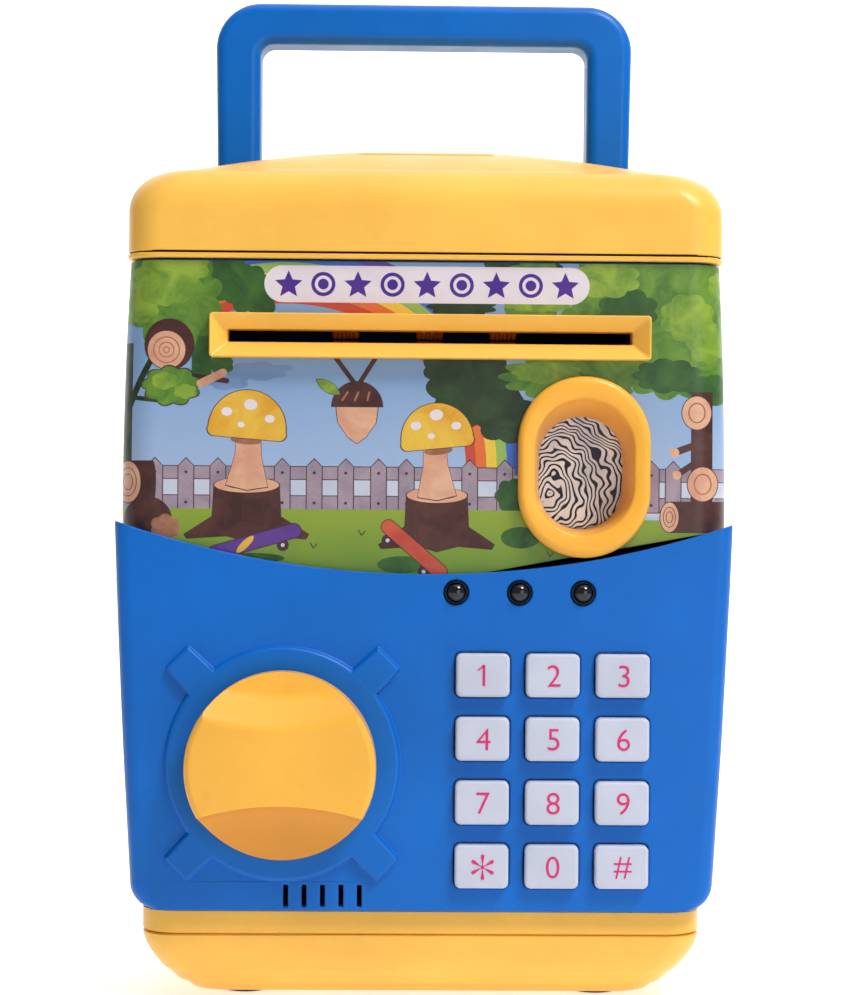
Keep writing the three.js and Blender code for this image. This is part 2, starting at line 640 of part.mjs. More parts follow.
// Carry handle: an arch whose legs slide in guides under the cap.
function carryHandle() {
  const outline = new THREE.Shape();
  const [outer, inner] = [HANDLE_HALF_WIDTH, HANDLE_HALF_WIDTH - HANDLE_LEG];
  const [outerRadius, innerRadius] = [HANDLE_BAR, 3];
  const under = HANDLE_TOP_Z - HANDLE_BAR;
  outline.moveTo(-outer, HANDLE_FOOT_Z);
  outline.lineTo(-inner, HANDLE_FOOT_Z);
  outline.absarc(-inner + innerRadius, under - innerRadius, innerRadius, Math.PI, Math.PI / 2, true);
  outline.absarc(inner - innerRadius, under - innerRadius, innerRadius, Math.PI / 2, 0, true);
  outline.lineTo(inner, HANDLE_FOOT_Z);
  outline.lineTo(outer, HANDLE_FOOT_Z);
  outline.absarc(outer - outerRadius, HANDLE_TOP_Z - outerRadius, outerRadius, 0, Math.PI / 2);
  outline.absarc(outerRadius - outer, HANDLE_TOP_Z - outerRadius, outerRadius, Math.PI / 2, Math.PI);
  outline.closePath();
  const arch = plate(outline, HANDLE_Y - HANDLE_DEPTH / 2, HANDLE_Y + HANDLE_DEPTH / 2);
  const stops = mirrored.map(([, side]) => legHole(side, 3, [HANDLE_FOOT_Z, HANDLE_FOOT_Z + 2.5]));
  return join(arch, ...stops);
}

function handleGuide(side) {
  const z = [HANDLE_FOOT_Z + 3, 180];
  return cut(legHole(side, 4, z), legHole(side, 2 * GAP, [100, 200]));
}

add("carry_handle", carryHandle(), blue);
mirrored.forEach(([name, side]) => add(`handle_guide_${name}`, handleGuide(side), grey));

// Note feeder: two rollers, one above the other, and a motor that turns the lower one.
const DRIVE_Z = SLOT_Z - GAP / 2 - ROLLER_RADIUS;
const PINCH_Z = SLOT_Z + GAP / 2 + ROLLER_RADIUS;
const GEAR_SPAN = (GEAR_MODULE * (ROLLER_TEETH + PINION_TEETH)) / 2;
const PINION_TILT = THREE.MathUtils.degToRad(-30); // the pinion lies behind the drive roller and lower
const PINION_Y = ROLLER_Y + GEAR_SPAN * Math.cos(PINION_TILT);
const PINION_Z = DRIVE_Z + GEAR_SPAN * Math.sin(PINION_TILT);
const SLEEVES_X = [-18, 1, 17.6];
const SLEEVE_HALF = 3;
const CHEEK_X = [-49, 49];
const CHEEK_THICK = 2;
const BRACKET_Y = [-43, -16];
const BRACKET_Z = [130, 158];
const SHAFT_RADIUS = 1.5;
const GEAR_X = [-53.8, -50.2];

// Involute stub teeth, with their flanks a little thin so that meshing teeth keep clear of each other.
function gearOutline(teeth, phase) {
  const pitchRadius = (GEAR_MODULE * teeth) / 2;
  const baseRadius = pitchRadius * Math.cos(Math.PI / 9);
  const rootRadius = pitchRadius - 1.1 * GEAR_MODULE;
  const tipRadius = pitchRadius + 0.75 * GEAR_MODULE;
  const spare = 0.12 / pitchRadius;
  const involute = (angle) => Math.tan(angle) - angle;
  const halfAngle = (radius) => {
    const pressure = Math.acos(Math.min(1, baseRadius / Math.max(radius, baseRadius)));
    return Math.PI / (2 * teeth) - spare + involute(Math.PI / 9) - involute(pressure);
  };
  const flank = [rootRadius, pitchRadius, tipRadius];
  const points = [];
  for (let tooth = 0; tooth < teeth; tooth += 1) {
    const middle = phase + (tooth * 2 * Math.PI) / teeth;
    for (const [side, radii] of [[-1, flank], [1, [...flank].reverse()]]) {
      for (const radius of radii) {
        const angle = middle + side * halfAngle(radius);
        points.push(new THREE.Vector2(radius * Math.cos(angle), radius * Math.sin(angle)));
      }
    }
  }
  return new THREE.Shape(points);
}

// An outline drawn in Y and Z about an axis along X.
function gearAcross(teeth, phase, y, z, from, to) {
  const settings = { depth: to - from, bevelEnabled: false };
  const geometry = new THREE.ExtrudeGeometry(gearOutline(teeth, phase), settings);
  geometry.applyMatrix4(new THREE.Matrix4().makeBasis(
    new THREE.Vector3(0, 1, 0),
    new THREE.Vector3(0, 0, 1),
    new THREE.Vector3(1, 0, 0),
  ));
  geometry.translate(from, y, z);
  return solid(geometry);
}

function roller(z, from, to) {
  const sleeves = SLEEVES_X.map((x) =>
    rodAcross(ROLLER_Y, z, ROLLER_RADIUS, ...around(x, 2 * SLEEVE_HALF), 16),
  );
  return join(rodAcross(ROLLER_Y, z, SHAFT_RADIUS, from, to, 12), ...sleeves);
}

const MOTOR_NECK = { radius: 2.9, from: -49.9 };
const MOTOR_CAN = { radius: 7, from: -47.2, to: -24 };

function feederBracket() {
  const half = CHEEK_THICK / 2;
  const cheeks = CHEEK_X.map((x) => box(around(x, CHEEK_THICK), BRACKET_Y, [BRACKET_Z[0], BRACKET_Z[1] - 1]));
  const topZ = [BRACKET_Z[1] - CHEEK_THICK, BRACKET_Z[1]];
  const top = box([CHEEK_X[0] - half, CHEEK_X[1] + half], BRACKET_Y, topZ);
  const bores = [DRIVE_Z, PINCH_Z].map((z) => rodAcross(ROLLER_Y, z, SHAFT_RADIUS + GAP, -60, 60, 12));
  const motorBore = rodAcross(PINION_Y, PINION_Z, MOTOR_NECK.radius + 0.4, -60, -40, 16);
  return cut(join(top, ...cheeks), ...bores, motorBore);
}

const motorProfile = [
  [0, MOTOR_NECK.from],
  [MOTOR_NECK.radius, MOTOR_NECK.from],
  [MOTOR_NECK.radius, MOTOR_CAN.from],
  [MOTOR_CAN.radius, MOTOR_CAN.from],
  [MOTOR_CAN.radius, MOTOR_CAN.to],
  [0, MOTOR_CAN.to],
];
add("feeder_bracket", feederBracket(), grey);
add("drive_roller", roller(DRIVE_Z, -49.9, 50.4), rubber);
add("pinch_roller", roller(PINCH_Z, -50.4, 50.4), rubber);
add("roller_gear", gearAcross(ROLLER_TEETH, PINION_TILT, ROLLER_Y, DRIVE_Z, ...GEAR_X), white);
const pinionPhase = PINION_TILT + Math.PI + Math.PI / PINION_TEETH;
add("motor_pinion", gearAcross(PINION_TEETH, pinionPhase, PINION_Y, PINION_Z, ...GEAR_X), white);
add("feed_motor", turnedAcross(PINION_Y, PINION_Z, motorProfile, 16), steel);

// Battery compartment in the base.
const cellSpots = [-1, 0, 1].map((row) => CELLS_Y + row * CELL_PITCH);

const HOLDER_Z = [TABLE_Z + 3.6, 19.2];
const coverScrewBore = (to) => upright(COVER_SCREW_X, CELLS_Y, 1.5, TABLE_Z, to, 12);

function batteryHolder() {
  const [halfWidth, wall] = [28, 1.7];
  const outer = box([-halfWidth, halfWidth], around(CELLS_Y, 49.6), HOLDER_Z);
  const innerX = [wall - halfWidth, halfWidth - wall];
  const inner = box(innerX, around(CELLS_Y, 46.4), [TABLE_Z, HOLDER_Z[1] - 0.5]);
  const boss = upright(COVER_SCREW_X, CELLS_Y, 3.4, ...HOLDER_Z, 16);
  const arm = box([halfWidth - 1, COVER_SCREW_X], around(CELLS_Y, 3), [12, HOLDER_Z[1]]);
  return cut(join(cut(outer, inner), boss, arm), coverScrewBore(15));
}

function batteryCell() {
  const [half, button] = [CELL_LENGTH / 2, 2.6];
  const can = [[0, -half], [CELL_RADIUS, -half], [CELL_RADIUS, half - 1], [button, half - 1]];
  return turnedAcross(0, 0, [...can, [button, half], [0, half]], 16);
}

function batteryCover() {
  const x = [COVER_X[0] + GAP, COVER_X[1] - GAP];
  const y = [COVER_Y[0] + GAP, COVER_Y[1] - GAP];
  const sheet = box(x, y, [BASE_BOTTOM_Z, HOLDER_Z[0] - 0.4]);
  const sunk = upright(COVER_SCREW_X, CELLS_Y, 2.7, TABLE_Z, TABLE_Z + 2.2, 12);
  return cut(sheet, sunk, coverScrewBore(TABLE_Z + 5));
}

add("battery_holder", batteryHolder(), grey);
cellSpots.forEach((y, index) => {
  add(`battery_${index + 1}`, batteryCell(), cellSkin).position.set(0, y, CELL_Z);
});
add("battery_cover", batteryCover(), yellow);
const coverScrew = screw(1.2, 2.4, TABLE_Z + 0.9, TABLE_Z + 1.9, 14);
add("battery_cover_screw", coverScrew, steel).position.set(COVER_SCREW_X, CELLS_Y, 0);

export default root;
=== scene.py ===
import math

import bmesh
import bpy
from mathutils import Matrix, Vector
from mathutils.geometry import delaunay_2d_cdt


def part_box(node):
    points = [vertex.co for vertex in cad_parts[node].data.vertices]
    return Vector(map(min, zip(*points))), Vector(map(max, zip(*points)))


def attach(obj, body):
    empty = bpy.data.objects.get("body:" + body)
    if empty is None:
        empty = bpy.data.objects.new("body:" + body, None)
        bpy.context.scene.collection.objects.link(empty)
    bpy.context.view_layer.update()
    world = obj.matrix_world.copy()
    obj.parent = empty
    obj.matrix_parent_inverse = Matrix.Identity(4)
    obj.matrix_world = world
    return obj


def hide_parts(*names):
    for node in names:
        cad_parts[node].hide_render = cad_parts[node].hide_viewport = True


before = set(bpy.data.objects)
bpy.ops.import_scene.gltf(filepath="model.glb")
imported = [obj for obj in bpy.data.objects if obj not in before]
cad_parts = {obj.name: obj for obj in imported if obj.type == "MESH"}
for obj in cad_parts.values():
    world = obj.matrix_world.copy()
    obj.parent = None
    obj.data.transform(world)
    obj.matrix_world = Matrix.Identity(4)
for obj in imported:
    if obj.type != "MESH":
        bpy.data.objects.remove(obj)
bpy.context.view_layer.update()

# Sizes are in millimetres, and each mesh is scaled to metres as it is made.
MM = 0.001
WALL = 2.2
GAP = 0.3  # between neighbours
CASE_CORNER = 8
BELLY_HALF_WIDTH = 68
BELLY_Z = 108
CURVE_ABOVE, CURVE_BELOW, TAPER_BELOW = 0.000488, 0.00018, 0.036
QUARTER = math.pi / 2


def span(node):
    """A CAD node's lowest and highest corners, in millimetres."""
    low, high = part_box(node)
    return low / MM, high / MM


def middle(node):
    low, high = span(node)
    return (low + high) / 2


def extent(node):
    return *span(node), middle(node)


def case_half_width(z):
    """Half the case's width at this height: widest at the belly, and curved in above and below it."""
    down = BELLY_Z - z
    if down < 0:
        return BELLY_HALF_WIDTH - CURVE_ABOVE * down**2
    return BELLY_HALF_WIDTH - TAPER_BELOW * down - CURVE_BELOW * down**2


def spread(start, end, count):
    return [start + (end - start) * step / count for step in range(count + 1)]


def put_in_scene(name, data):
    """An object for this mesh, light, camera or text."""
    thing = bpy.data.objects.new(name, data)
    bpy.context.scene.collection.objects.link(thing)
    return thing


# Camera, lights and floor. Lights and floor are in metres and watts.
CAMERA_YAW = math.radians(1)
CAMERA_ROLL = math.radians(0.43)
CAMERA_Z = 113
CAMERA_REACH = 502.4  # from the door's face
LENS, SENSOR = 82.3, 36
LIGHT_TARGET = Vector((0, 0, 0.1))
LIGHTS = {  # place, side of the square, power
    "key": ((0.65, -0.7, 1.35), 0.5, 19.5),
    "fill": ((0.7, -1.5, 0.3), 0.9, 4.6),
    "top": ((0.1, 0.1, 1.5), 1.4, 7),
}
WORLD_STRENGTH = 0.2
FLOOR_FRONT, FLOOR_BACK, FLOOR_HALF = -1.6, 0.9, 2.5
FLOOR_BEND, BACKDROP_TOP = 0.5, 2.4
GLOW_FRONT, GLOW_BACK, GLOW_LOW, GLOW_HIGH = -0.14, 0.0, 0.05, 0.75


def make_camera():
    data = bpy.data.cameras.new("camera")
    data.lens = LENS
    data.sensor_width = SENSOR
    camera = put_in_scene("camera", data)
    x = -math.tan(CAMERA_YAW) * CAMERA_REACH
    camera.location = Vector((x, span("front_door")[0].y - CAMERA_REACH, CAMERA_Z)) * MM
    turn = Matrix.Rotation(-CAMERA_YAW, 4, "Z") @ Matrix.Rotation(QUARTER, 4, "X")
    camera.rotation_euler = (turn @ Matrix.Rotation(CAMERA_ROLL, 4, "Z")).to_euler()
    bpy.context.scene.camera = camera


def make_lights():
    for name, (place, side, power) in LIGHTS.items():
        data = bpy.data.lights.new(name, "AREA")
        data.shape = "RECTANGLE"
        data.size = data.size_y = side
        data.energy = power
        light = put_in_scene(name, data)
        light.location = place
        light.rotation_euler = (LIGHT_TARGET - Vector(place)).to_track_quat("-Z", "Y").to_euler()
    world = bpy.data.worlds.new("studio")
    bpy.context.scene.world = world
    world.use_nodes = True
    background = world.node_tree.nodes["Background"].inputs
    background["Color"].default_value = (1, 1, 1, 1)
    background["Strength"].default_value = WORLD_STRENGTH
    bpy.context.scene.view_settings.view_transform = "Standard"


def make_stage():
    """A pale floor that curves up into a pale wall behind."""
    points = [(FLOOR_FRONT, 0.0), (FLOOR_BACK, 0.0)]
    points += [(FLOOR_BACK + FLOOR_BEND * math.sin(a), FLOOR_BEND - FLOOR_BEND * math.cos(a))
               for a in spread(0.1, QUARTER, 12)]
    points.append((FLOOR_BACK + FLOOR_BEND, BACKDROP_TOP))
    vertices = [(x, y, z) for x in (-FLOOR_HALF, FLOOR_HALF) for y, z in points]
    count = len(points)
    faces = [(i, i + 1, count + i + 1, count + i) for i in range(count - 1)]
    mesh = bpy.data.meshes.new("floor")
    mesh.from_pydata(vertices, [], faces)
    mesh.shade_smooth()
    mesh.materials.append(stage_paper())
    put_in_scene("floor", mesh)


def stage_paper():
    """Pale studio paper with a glow of its own behind the bank, which keeps it near white."""
    nodes = Nodes("stage_paper")
    glow = nodes.range(nodes.axis("Y"), GLOW_LOW, GLOW_HIGH, GLOW_FRONT, GLOW_BACK)
    return nodes.set(Base_Color=(0.8, 0.8, 0.8, 1), Roughness=0.9, Specular_IOR_Level=0.1,
                     Emission_Color=(1, 1, 1, 1), Emission_Strength=glow)


# Materials.
def linear(red, green, blue):
    """A colour given from 0 to 255, as the eye reads it, in the shader's own terms."""
    def channel(value):
        value /= 255
        return value / 12.92 if value <= 0.04045 else ((value + 0.055) / 1.055) ** 2.4
    return (channel(red), channel(green), channel(blue), 1)


class Nodes:
    """A short way to add and join a material's nodes."""

    def __init__(self, name):
        self.material = bpy.data.materials.new(name)
        self.material.use_nodes = True
        self.tree = self.material.node_tree
        self.shader = self.tree.nodes["Principled BSDF"]
        self.place = self.add("ShaderNodeTexCoord").outputs["Object"]

    def add(self, kind, **settings):
        node = self.tree.nodes.new(kind)
        for key, value in settings.items():
            setattr(node, key, value)
        return node

    def join(self, output, socket):
        self.tree.links.new(output, socket)

    def axis(self, letter):
        split = self.add("ShaderNodeSeparateXYZ")
        self.join(self.place, split.inputs[0])
        return split.outputs[letter]

    def scaled(self, scale):
        node = self.add("ShaderNodeMapping")
        node.inputs["Scale"].default_value = scale
        self.join(self.place, node.inputs["Vector"])
        return node.outputs["Vector"]

    def noise(self, scale, detail=3, rough=0.5, distortion=0, place=None, output="Fac"):
        node = self.add("ShaderNodeTexNoise")
        node.inputs["Scale"].default_value = scale
        node.inputs["Detail"].default_value = detail
        node.inputs["Roughness"].default_value = rough
        node.inputs["Distortion"].default_value = distortion
        self.join(place or self.place, node.inputs["Vector"])
        return node.outputs[output]

    def ramp(self, value, *stops):
        node = self.add("ShaderNodeValToRGB")
        elements = node.color_ramp.elements
        while len(elements) < len(stops):
            elements.new(0.5)
        for element, (position, colour) in zip(elements, stops):
            element.position = position
            element.color = colour
        self.join(value, node.inputs["Fac"])
        return node.outputs["Color"]

    def mix(self, factor, first, second):
        node = self.add("ShaderNodeMix", data_type="RGBA")
        for index, value in ((0, factor), (6, first), (7, second)):
            if hasattr(value, "is_linked"):
                self.join(value, node.inputs[index])
            else:
                node.inputs[index].default_value = value
        return node.outputs[2]

    def range(self, value, low, high, start=0.3, end=0.7):
        node = self.add("ShaderNodeMapRange")
        self.join(value, node.inputs["Value"])
        node.inputs["From Min"].default_value = start
        node.inputs["From Max"].default_value = end
        node.inputs["To Min"].default_value = low
        node.inputs["To Max"].default_value = high
        return node.outputs["Result"]

    def bump(self, height, strength, distance):
        node = self.add("ShaderNodeBump")
        node.inputs["Strength"].default_value = strength
        node.inputs["Distance"].default_value = distance
        self.join(height, node.inputs["Height"])
        self.join(node.outputs["Normal"], self.shader.inputs["Normal"])

    def set(self, **values):
        for key, value in values.items():
            socket = self.shader.inputs[key.replace("_", " ")]
            if hasattr(value, "is_linked"):
                self.join(value, socket)
            else:
                socket.default_value = value
        return self.material


def shade(colour, amount):
    return tuple(min(1, channel * amount) for channel in colour[:3]) + (1,)


def moulded(name, colour, roughness, grain=0.04, coat=0.0):
    """Moulded plastic: cloudy colour with flecks, a roughness that drifts and a fine skin."""
    nodes, colour = Nodes(name), linear(*colour)
    cloud = nodes.noise(38, 4, 0.6)
    fleck = nodes.noise(1500, 2)
    tone = nodes.ramp(cloud, (0.32, shade(colour, 0.93)), (0.68, shade(colour, 1.05)))
    tone = nodes.mix(nodes.range(fleck, 0, 0.06), tone, shade(colour, 0.75))
    scuff = nodes.noise(70, 3, 0.5)
    skin = nodes.noise(2600, 2, 0.4)
    nodes.bump(skin, grain, 0.0002)
    rough = nodes.range(scuff, roughness - 0.03, roughness + 0.06)
    return nodes.set(Base_Color=tone, Roughness=rough, Specular_IOR_Level=0.28, Coat_Weight=coat,
                     Coat_Roughness=0.12)


def metal_finish(name, colour, roughness, stretch=(1, 1, 30)):
    """Plated or drawn metal with fine lines along one way and a few dull patches."""
    nodes, colour = Nodes(name), linear(*colour)
    line = nodes.noise(260, 5, 0.7, 0, nodes.scaled(stretch))
    patch = nodes.noise(55, 4)
    tone = nodes.ramp(line, (0.3, shade(colour, 0.8)), (0.7, shade(colour, 1.1)))
    nodes.bump(line, 0.12, 0.0001)
    rough = nodes.range(patch, roughness, roughness + 0.18)
    return nodes.set(Base_Color=tone, Metallic=1.0, Roughness=rough)


def rubber_finish(name, colour):
    nodes, colour = Nodes(name), linear(*colour)
    cloud = nodes.noise(120, 4)
    grit = nodes.noise(3000, 3, 0.7)
    tone = nodes.ramp(cloud, (0.3, shade(colour, 0.75)), (0.7, shade(colour, 1.15)))
    nodes.bump(grit, 0.35, 0.0002)
    return nodes.set(Base_Color=tone, Roughness=nodes.range(grit, 0.62, 0.85))


def board_finish(name):
    """Green solder mask over copper tracks, with bright pads."""
    nodes = Nodes(name)
    cells = nodes.add("ShaderNodeTexBrick")
    nodes.join(nodes.place, cells.inputs["Vector"])
    cells.inputs["Scale"].default_value = 160
    track = nodes.mix(nodes.noise(420, 1), linear(22, 92, 52), linear(38, 120, 66))
    tone = nodes.mix(cells.outputs["Fac"], track, linear(176, 150, 88))
    nodes.bump(cells.outputs["Fac"], 0.2, 0.0002)
    return nodes.set(Base_Color=tone, Roughness=nodes.range(nodes.noise(90), 0.3, 0.5))


def lens_finish(name):
    nodes = Nodes(name)
    haze = nodes.noise(700, 4)
    tone = nodes.ramp(haze, (0.3, linear(8, 7, 9)), (0.75, linear(26, 23, 28)))
    return nodes.set(Base_Color=tone, Roughness=nodes.range(haze, 0.06, 0.16), Coat_Weight=0.3,
                     Coat_Roughness=0.04)


def cell_finish(name):
    """A battery's sleeve: dark, with a coppery band at one end."""
    nodes = Nodes(name)
    band = nodes.range(nodes.axis("X"), 0, 1, 0.0095, 0.0099)
    scratch = nodes.noise(400, 5, 0.7, 0, nodes.scaled((12, 1, 1)))
    dark = nodes.ramp(scratch, (0.3, linear(24, 26, 30)), (0.75, linear(52, 55, 62)))
    tone = nodes.mix(band, dark, linear(176, 112, 58))
    return nodes.set(Base_Color=tone, Metallic=0.5, Roughness=nodes.range(scratch, 0.25, 0.42))


def foil_finish(name):
    """Silver foil printed with the dark ridges of a fingerprint, as warped rings."""
    nodes = Nodes(name)
    shift = nodes.add("ShaderNodeMapping", vector_type="POINT")
    shift.inputs["Location"].default_value = middle("fingerprint_pad") * -MM
    nodes.join(nodes.place, shift.inputs["Vector"])
    centred = place = shift.outputs["Vector"]
    for scale, reach in ((60, 0.008), (330, 0.0032)):
        push = nodes.add("ShaderNodeVectorMath", operation="MULTIPLY_ADD")
        nodes.join(nodes.noise(scale, 0, place=centred, output="Color"), push.inputs[0])
        push.inputs[1].default_value = (reach, 0, reach)
        nodes.join(place, push.inputs[2])
        place = push.outputs["Vector"]
    rings = nodes.add("ShaderNodeTexWave", wave_type="RINGS", rings_direction="Y")
    rings.inputs["Scale"].default_value = 285
    nodes.join(place, rings.inputs["Vector"])
    ridge = nodes.range(rings.outputs["Fac"], 0, 1, 0.3, 0.4)
    silver = nodes.ramp(nodes.noise(160), (0.3, linear(205, 207, 216)), (0.7, linear(246, 247, 250)))
    tone = nodes.mix(ridge, linear(24, 20, 44), silver)
    nodes.bump(ridge, 0.3, 0.0003)
    return nodes.set(Base_Color=tone, Metallic=0.1, Roughness=nodes.range(nodes.noise(300), 0.25, 0.4))


blue_plastic = moulded("blue_plastic", (0, 102, 194), 0.34, coat=0.02)
yellow_plastic = moulded("yellow_plastic", (248, 190, 82), 0.34, coat=0.06)
knob_plastic = moulded("knob_plastic", (250, 184, 68), 0.3, coat=0.15)
# A darker copy of the knob's plastic for its lower scoop: painted shade, standing in for the grip bar's
# shadow.
painted_shade_scoop_plastic = moulded("painted_shade_scoop_plastic", (222, 150, 56), 0.42)
ring_plastic = moulded("ring_plastic", (248, 178, 62), 0.3, coat=0.15)
key_plastic = moulded("key_plastic", (196, 201, 218), 0.34, grain=0.02)
digit_ink = moulded("digit_ink", (214, 45, 112), 0.4, grain=0.02)
gear_plastic = moulded("gear_plastic", (232, 230, 218), 0.45)
grey_plastic = moulded("grey_plastic", (112, 115, 122), 0.5, grain=0.12)
feeder_plastic = moulded("feeder_plastic", (168, 66, 36), 0.5)
seam_dark = moulded("seam_dark", (70, 48, 20), 0.6)
steel = metal_finish("steel", (190, 192, 196), 0.22)
motor_can = metal_finish("motor_can", (172, 174, 178), 0.3, (30, 1, 1))
foot_rubber = rubber_finish("foot_rubber", (52, 52, 55))
roller_rubber = rubber_finish("roller_rubber", (214, 104, 44))
membrane_rubber = rubber_finish("membrane_rubber", (150, 152, 156))
speaker_paper = rubber_finish("speaker_paper", (40, 40, 43))
circuit_board = board_finish("circuit_board")
smoked_lens = lens_finish("smoked_lens")
battery_skin = cell_finish("battery_skin")
pad_foil = foil_finish("pad_foil")


# Mesh making.
WELD, FLAT_WELD = 1e-7, 2e-6  # metres
FLAT_ANGLE = math.radians(0.4)
FACING_FRONT = 0.9999  # a face whose normal points this much to the front is part of the flat front


def new_mesh(name, vertices, faces, materials):
    mesh = bpy.data.meshes.new(name)
    mesh.from_pydata([Vector(v) * MM for v in vertices], [], faces)
    for material in materials:
        mesh.materials.append(material)
    return put_in_scene(name, mesh)


def edit(piece, change):
    work = bmesh.new()
    work.from_mesh(piece.data)
    change(work)
    work.to_mesh(piece.data)
    work.free()


def settle(piece):
    """Turns the piece's modifiers into mesh."""
    graph = bpy.context.evaluated_depsgraph_get()
    mesh = bpy.data.meshes.new_from_object(piece.evaluated_get(graph))
    old = piece.data
    piece.modifiers.clear()
    piece.data = mesh
    bpy.data.meshes.remove(old)


def merge(piece, other):
    """Moves the other's mesh into the piece, unjoined."""
    edit(piece, lambda work: work.from_mesh(other.data))
    bpy.data.objects.remove(other)


def paint(piece, index, chosen=lambda place: True):
    """Gives a material of the piece to the faces whose middles, in millimetres, are chosen."""
    for face in piece.data.polygons:
        if chosen(face.center / MM):
            face.material_index = index


def carve(piece, cutters, operation="DIFFERENCE"):
    for cutter in cutters:
        step = piece.modifiers.new("carve", "BOOLEAN")
        step.operation = operation
        step.solver = "EXACT"
        step.object = cutter
        settle(piece)
        bpy.data.objects.remove(cutter)


def flatten(piece):
    """Joins the coplanar faces that a loft or a cut leaves, so that only real edges are rounded."""
    def change(work):
        bmesh.ops.remove_doubles(work, verts=work.verts, dist=FLAT_WELD)
        bmesh.ops.dissolve_limit(work, angle_limit=FLAT_ANGLE, verts=work.verts, edges=work.edges)

    edit(piece, change)


def round_edges(piece, width, segments=3, angle=35):
    step = piece.modifiers.new("round", "BEVEL")
    step.width = width * MM
    step.segments = segments
    step.limit_method = "ANGLE"
    step.angle_limit = math.radians(angle)
    step.miter_outer = "MITER_ARC"
    step.use_clamp_overlap = False
    settle(piece)


def smooth(piece, angle=32, flat_front=False):
    """Smooth shading with sharp edges, where a flat face keeps its own direction up to its rounded rim.
    A wide front face with many holes can be shaded flat."""
    piece.data.shade_smooth()
    piece.data.set_sharp_from_angle(angle=math.radians(angle))
    if flat_front:
        for face in piece.data.polygons:
            face.use_smooth = face.normal.y > -FACING_FRONT
    step = piece.modifiers.new("normals", "WEIGHTED_NORMAL")
    step.keep_sharp = True
    step.weight = 100
    settle(piece)
    return piece


def finish_piece(piece, body, node):
    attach(piece, body)
    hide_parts(node)


def bridge(rings, closed=False):
    """Points and faces through rings of equally many points, capped at both ends unless closed."""
    around = len(rings[0])
    vertices = [point for ring in rings for point in ring]
    faces = []
    levels = len(rings) if closed else len(rings) - 1
    for level in range(levels):
        low, high = level * around, (level + 1) % len(rings) * around
        for step in range(around):
            after = (step + 1) % around
            faces.append((low + step, low + after, high + after, high + step))
    if not closed:
        faces.append(tuple(reversed(range(around))))
        faces.append(tuple(range(len(vertices) - around, len(vertices))))
    return vertices, faces


def loft(name, rings, materials=(), closed=False):
    """A solid through the rings, with doubled points merged and its faces turned outward."""
    def change(work):
        bmesh.ops.remove_doubles(work, verts=work.verts, dist=WELD)
        bmesh.ops.recalc_face_normals(work, faces=work.faces)

    piece = new_mesh(name, *bridge(rings, closed), materials)
    edit(piece, change)
    return piece


def stack(name, outline, profile, materials=(), closed=False):
    """A solid whose outline in X and Z changes with depth: each step of the profile is (inset, y)."""
    rings = [[(x, y, z) for x, z in outline(inset)] for inset, y in profile]
    return loft(name, rings, materials, closed)


def plate(name, outline, ys, materials=()):
    """A solid with one outline in X and Z, between two depths."""
    return stack(name, lambda inset: outline, [(0, y) for y in ys], materials)


def upright(name, outline, heights, materials=()):
    """A solid with one outline in X and Y, between two heights."""
    return loft(name, [[(x, y, z) for x, y in outline] for z in heights], materials)


def block(name, low, high, materials=()):
    corners = [(low[0], low[1]), (high[0], low[1]), (high[0], high[1]), (low[0], high[1])]
    return upright(name, corners, (low[2], high[2]), materials)


def arc(x, y, radius, start, end, steps):
    """Points on an arc, with its angles in degrees."""
    angles = [math.radians(a) for a in spread(start, end, steps)]
    return [(x + radius * math.cos(a), y + radius * math.sin(a)) for a in angles]


def rounded(x, z, half_width, half_height, radius, steps=8):
    right, up = half_width - radius, half_height - radius
    return (
        arc(x + right, z + up, radius, 0, 90, steps)
        + arc(x - right, z + up, radius, 90, 180, steps)
        + arc(x - right, z - up, radius, 180, 270, steps)
        + arc(x + right, z - up, radius, 270, 360, steps)
    )


def circle(x, z, radius, steps=64):
    return arc(x, z, radius, 0, 360 - 360 / steps, steps - 1)


def fillet(inset, y, radius, into, steps=5):
    """Profile steps that round an edge, from the wall at this inset to the face at y. into is 1 if y is in
    front, and -1 if it is behind."""
    return [
        (inset + radius * (1 - math.cos(a)), y + into * radius * (1 - math.sin(a)))
        for a in spread(0, math.pi / 2, steps)
    ]


def plan_ring(half_width, front, back, radius, z, steps=14):
    middle_y, half_depth = (front + back) / 2, (back - front) / 2
    return [(x, y, z) for x, y in rounded(0, middle_y, half_width, half_depth, radius, steps)]


# The cap: a seam groove over a thin lip, upright walls, a soft shoulder and a shallow crown.
CAP_LIP = 1.15
CAP_GROOVE = 0.3
CAP_WALL_TOP = 11
SHOULDER_IN, SHOULDER_UP = 9, 9.8
CROWN_CORNER = CASE_CORNER + 4
CAP_INSET = 0.12
LEG_HOLE = (5.5, 6.3, 2.2)  # half its width, half its depth and its corners
COIN_SLOT_Y, COIN_SLOT = -20, (16, 1.75, 1.7)
THROUGH_CAP = (150, 230)


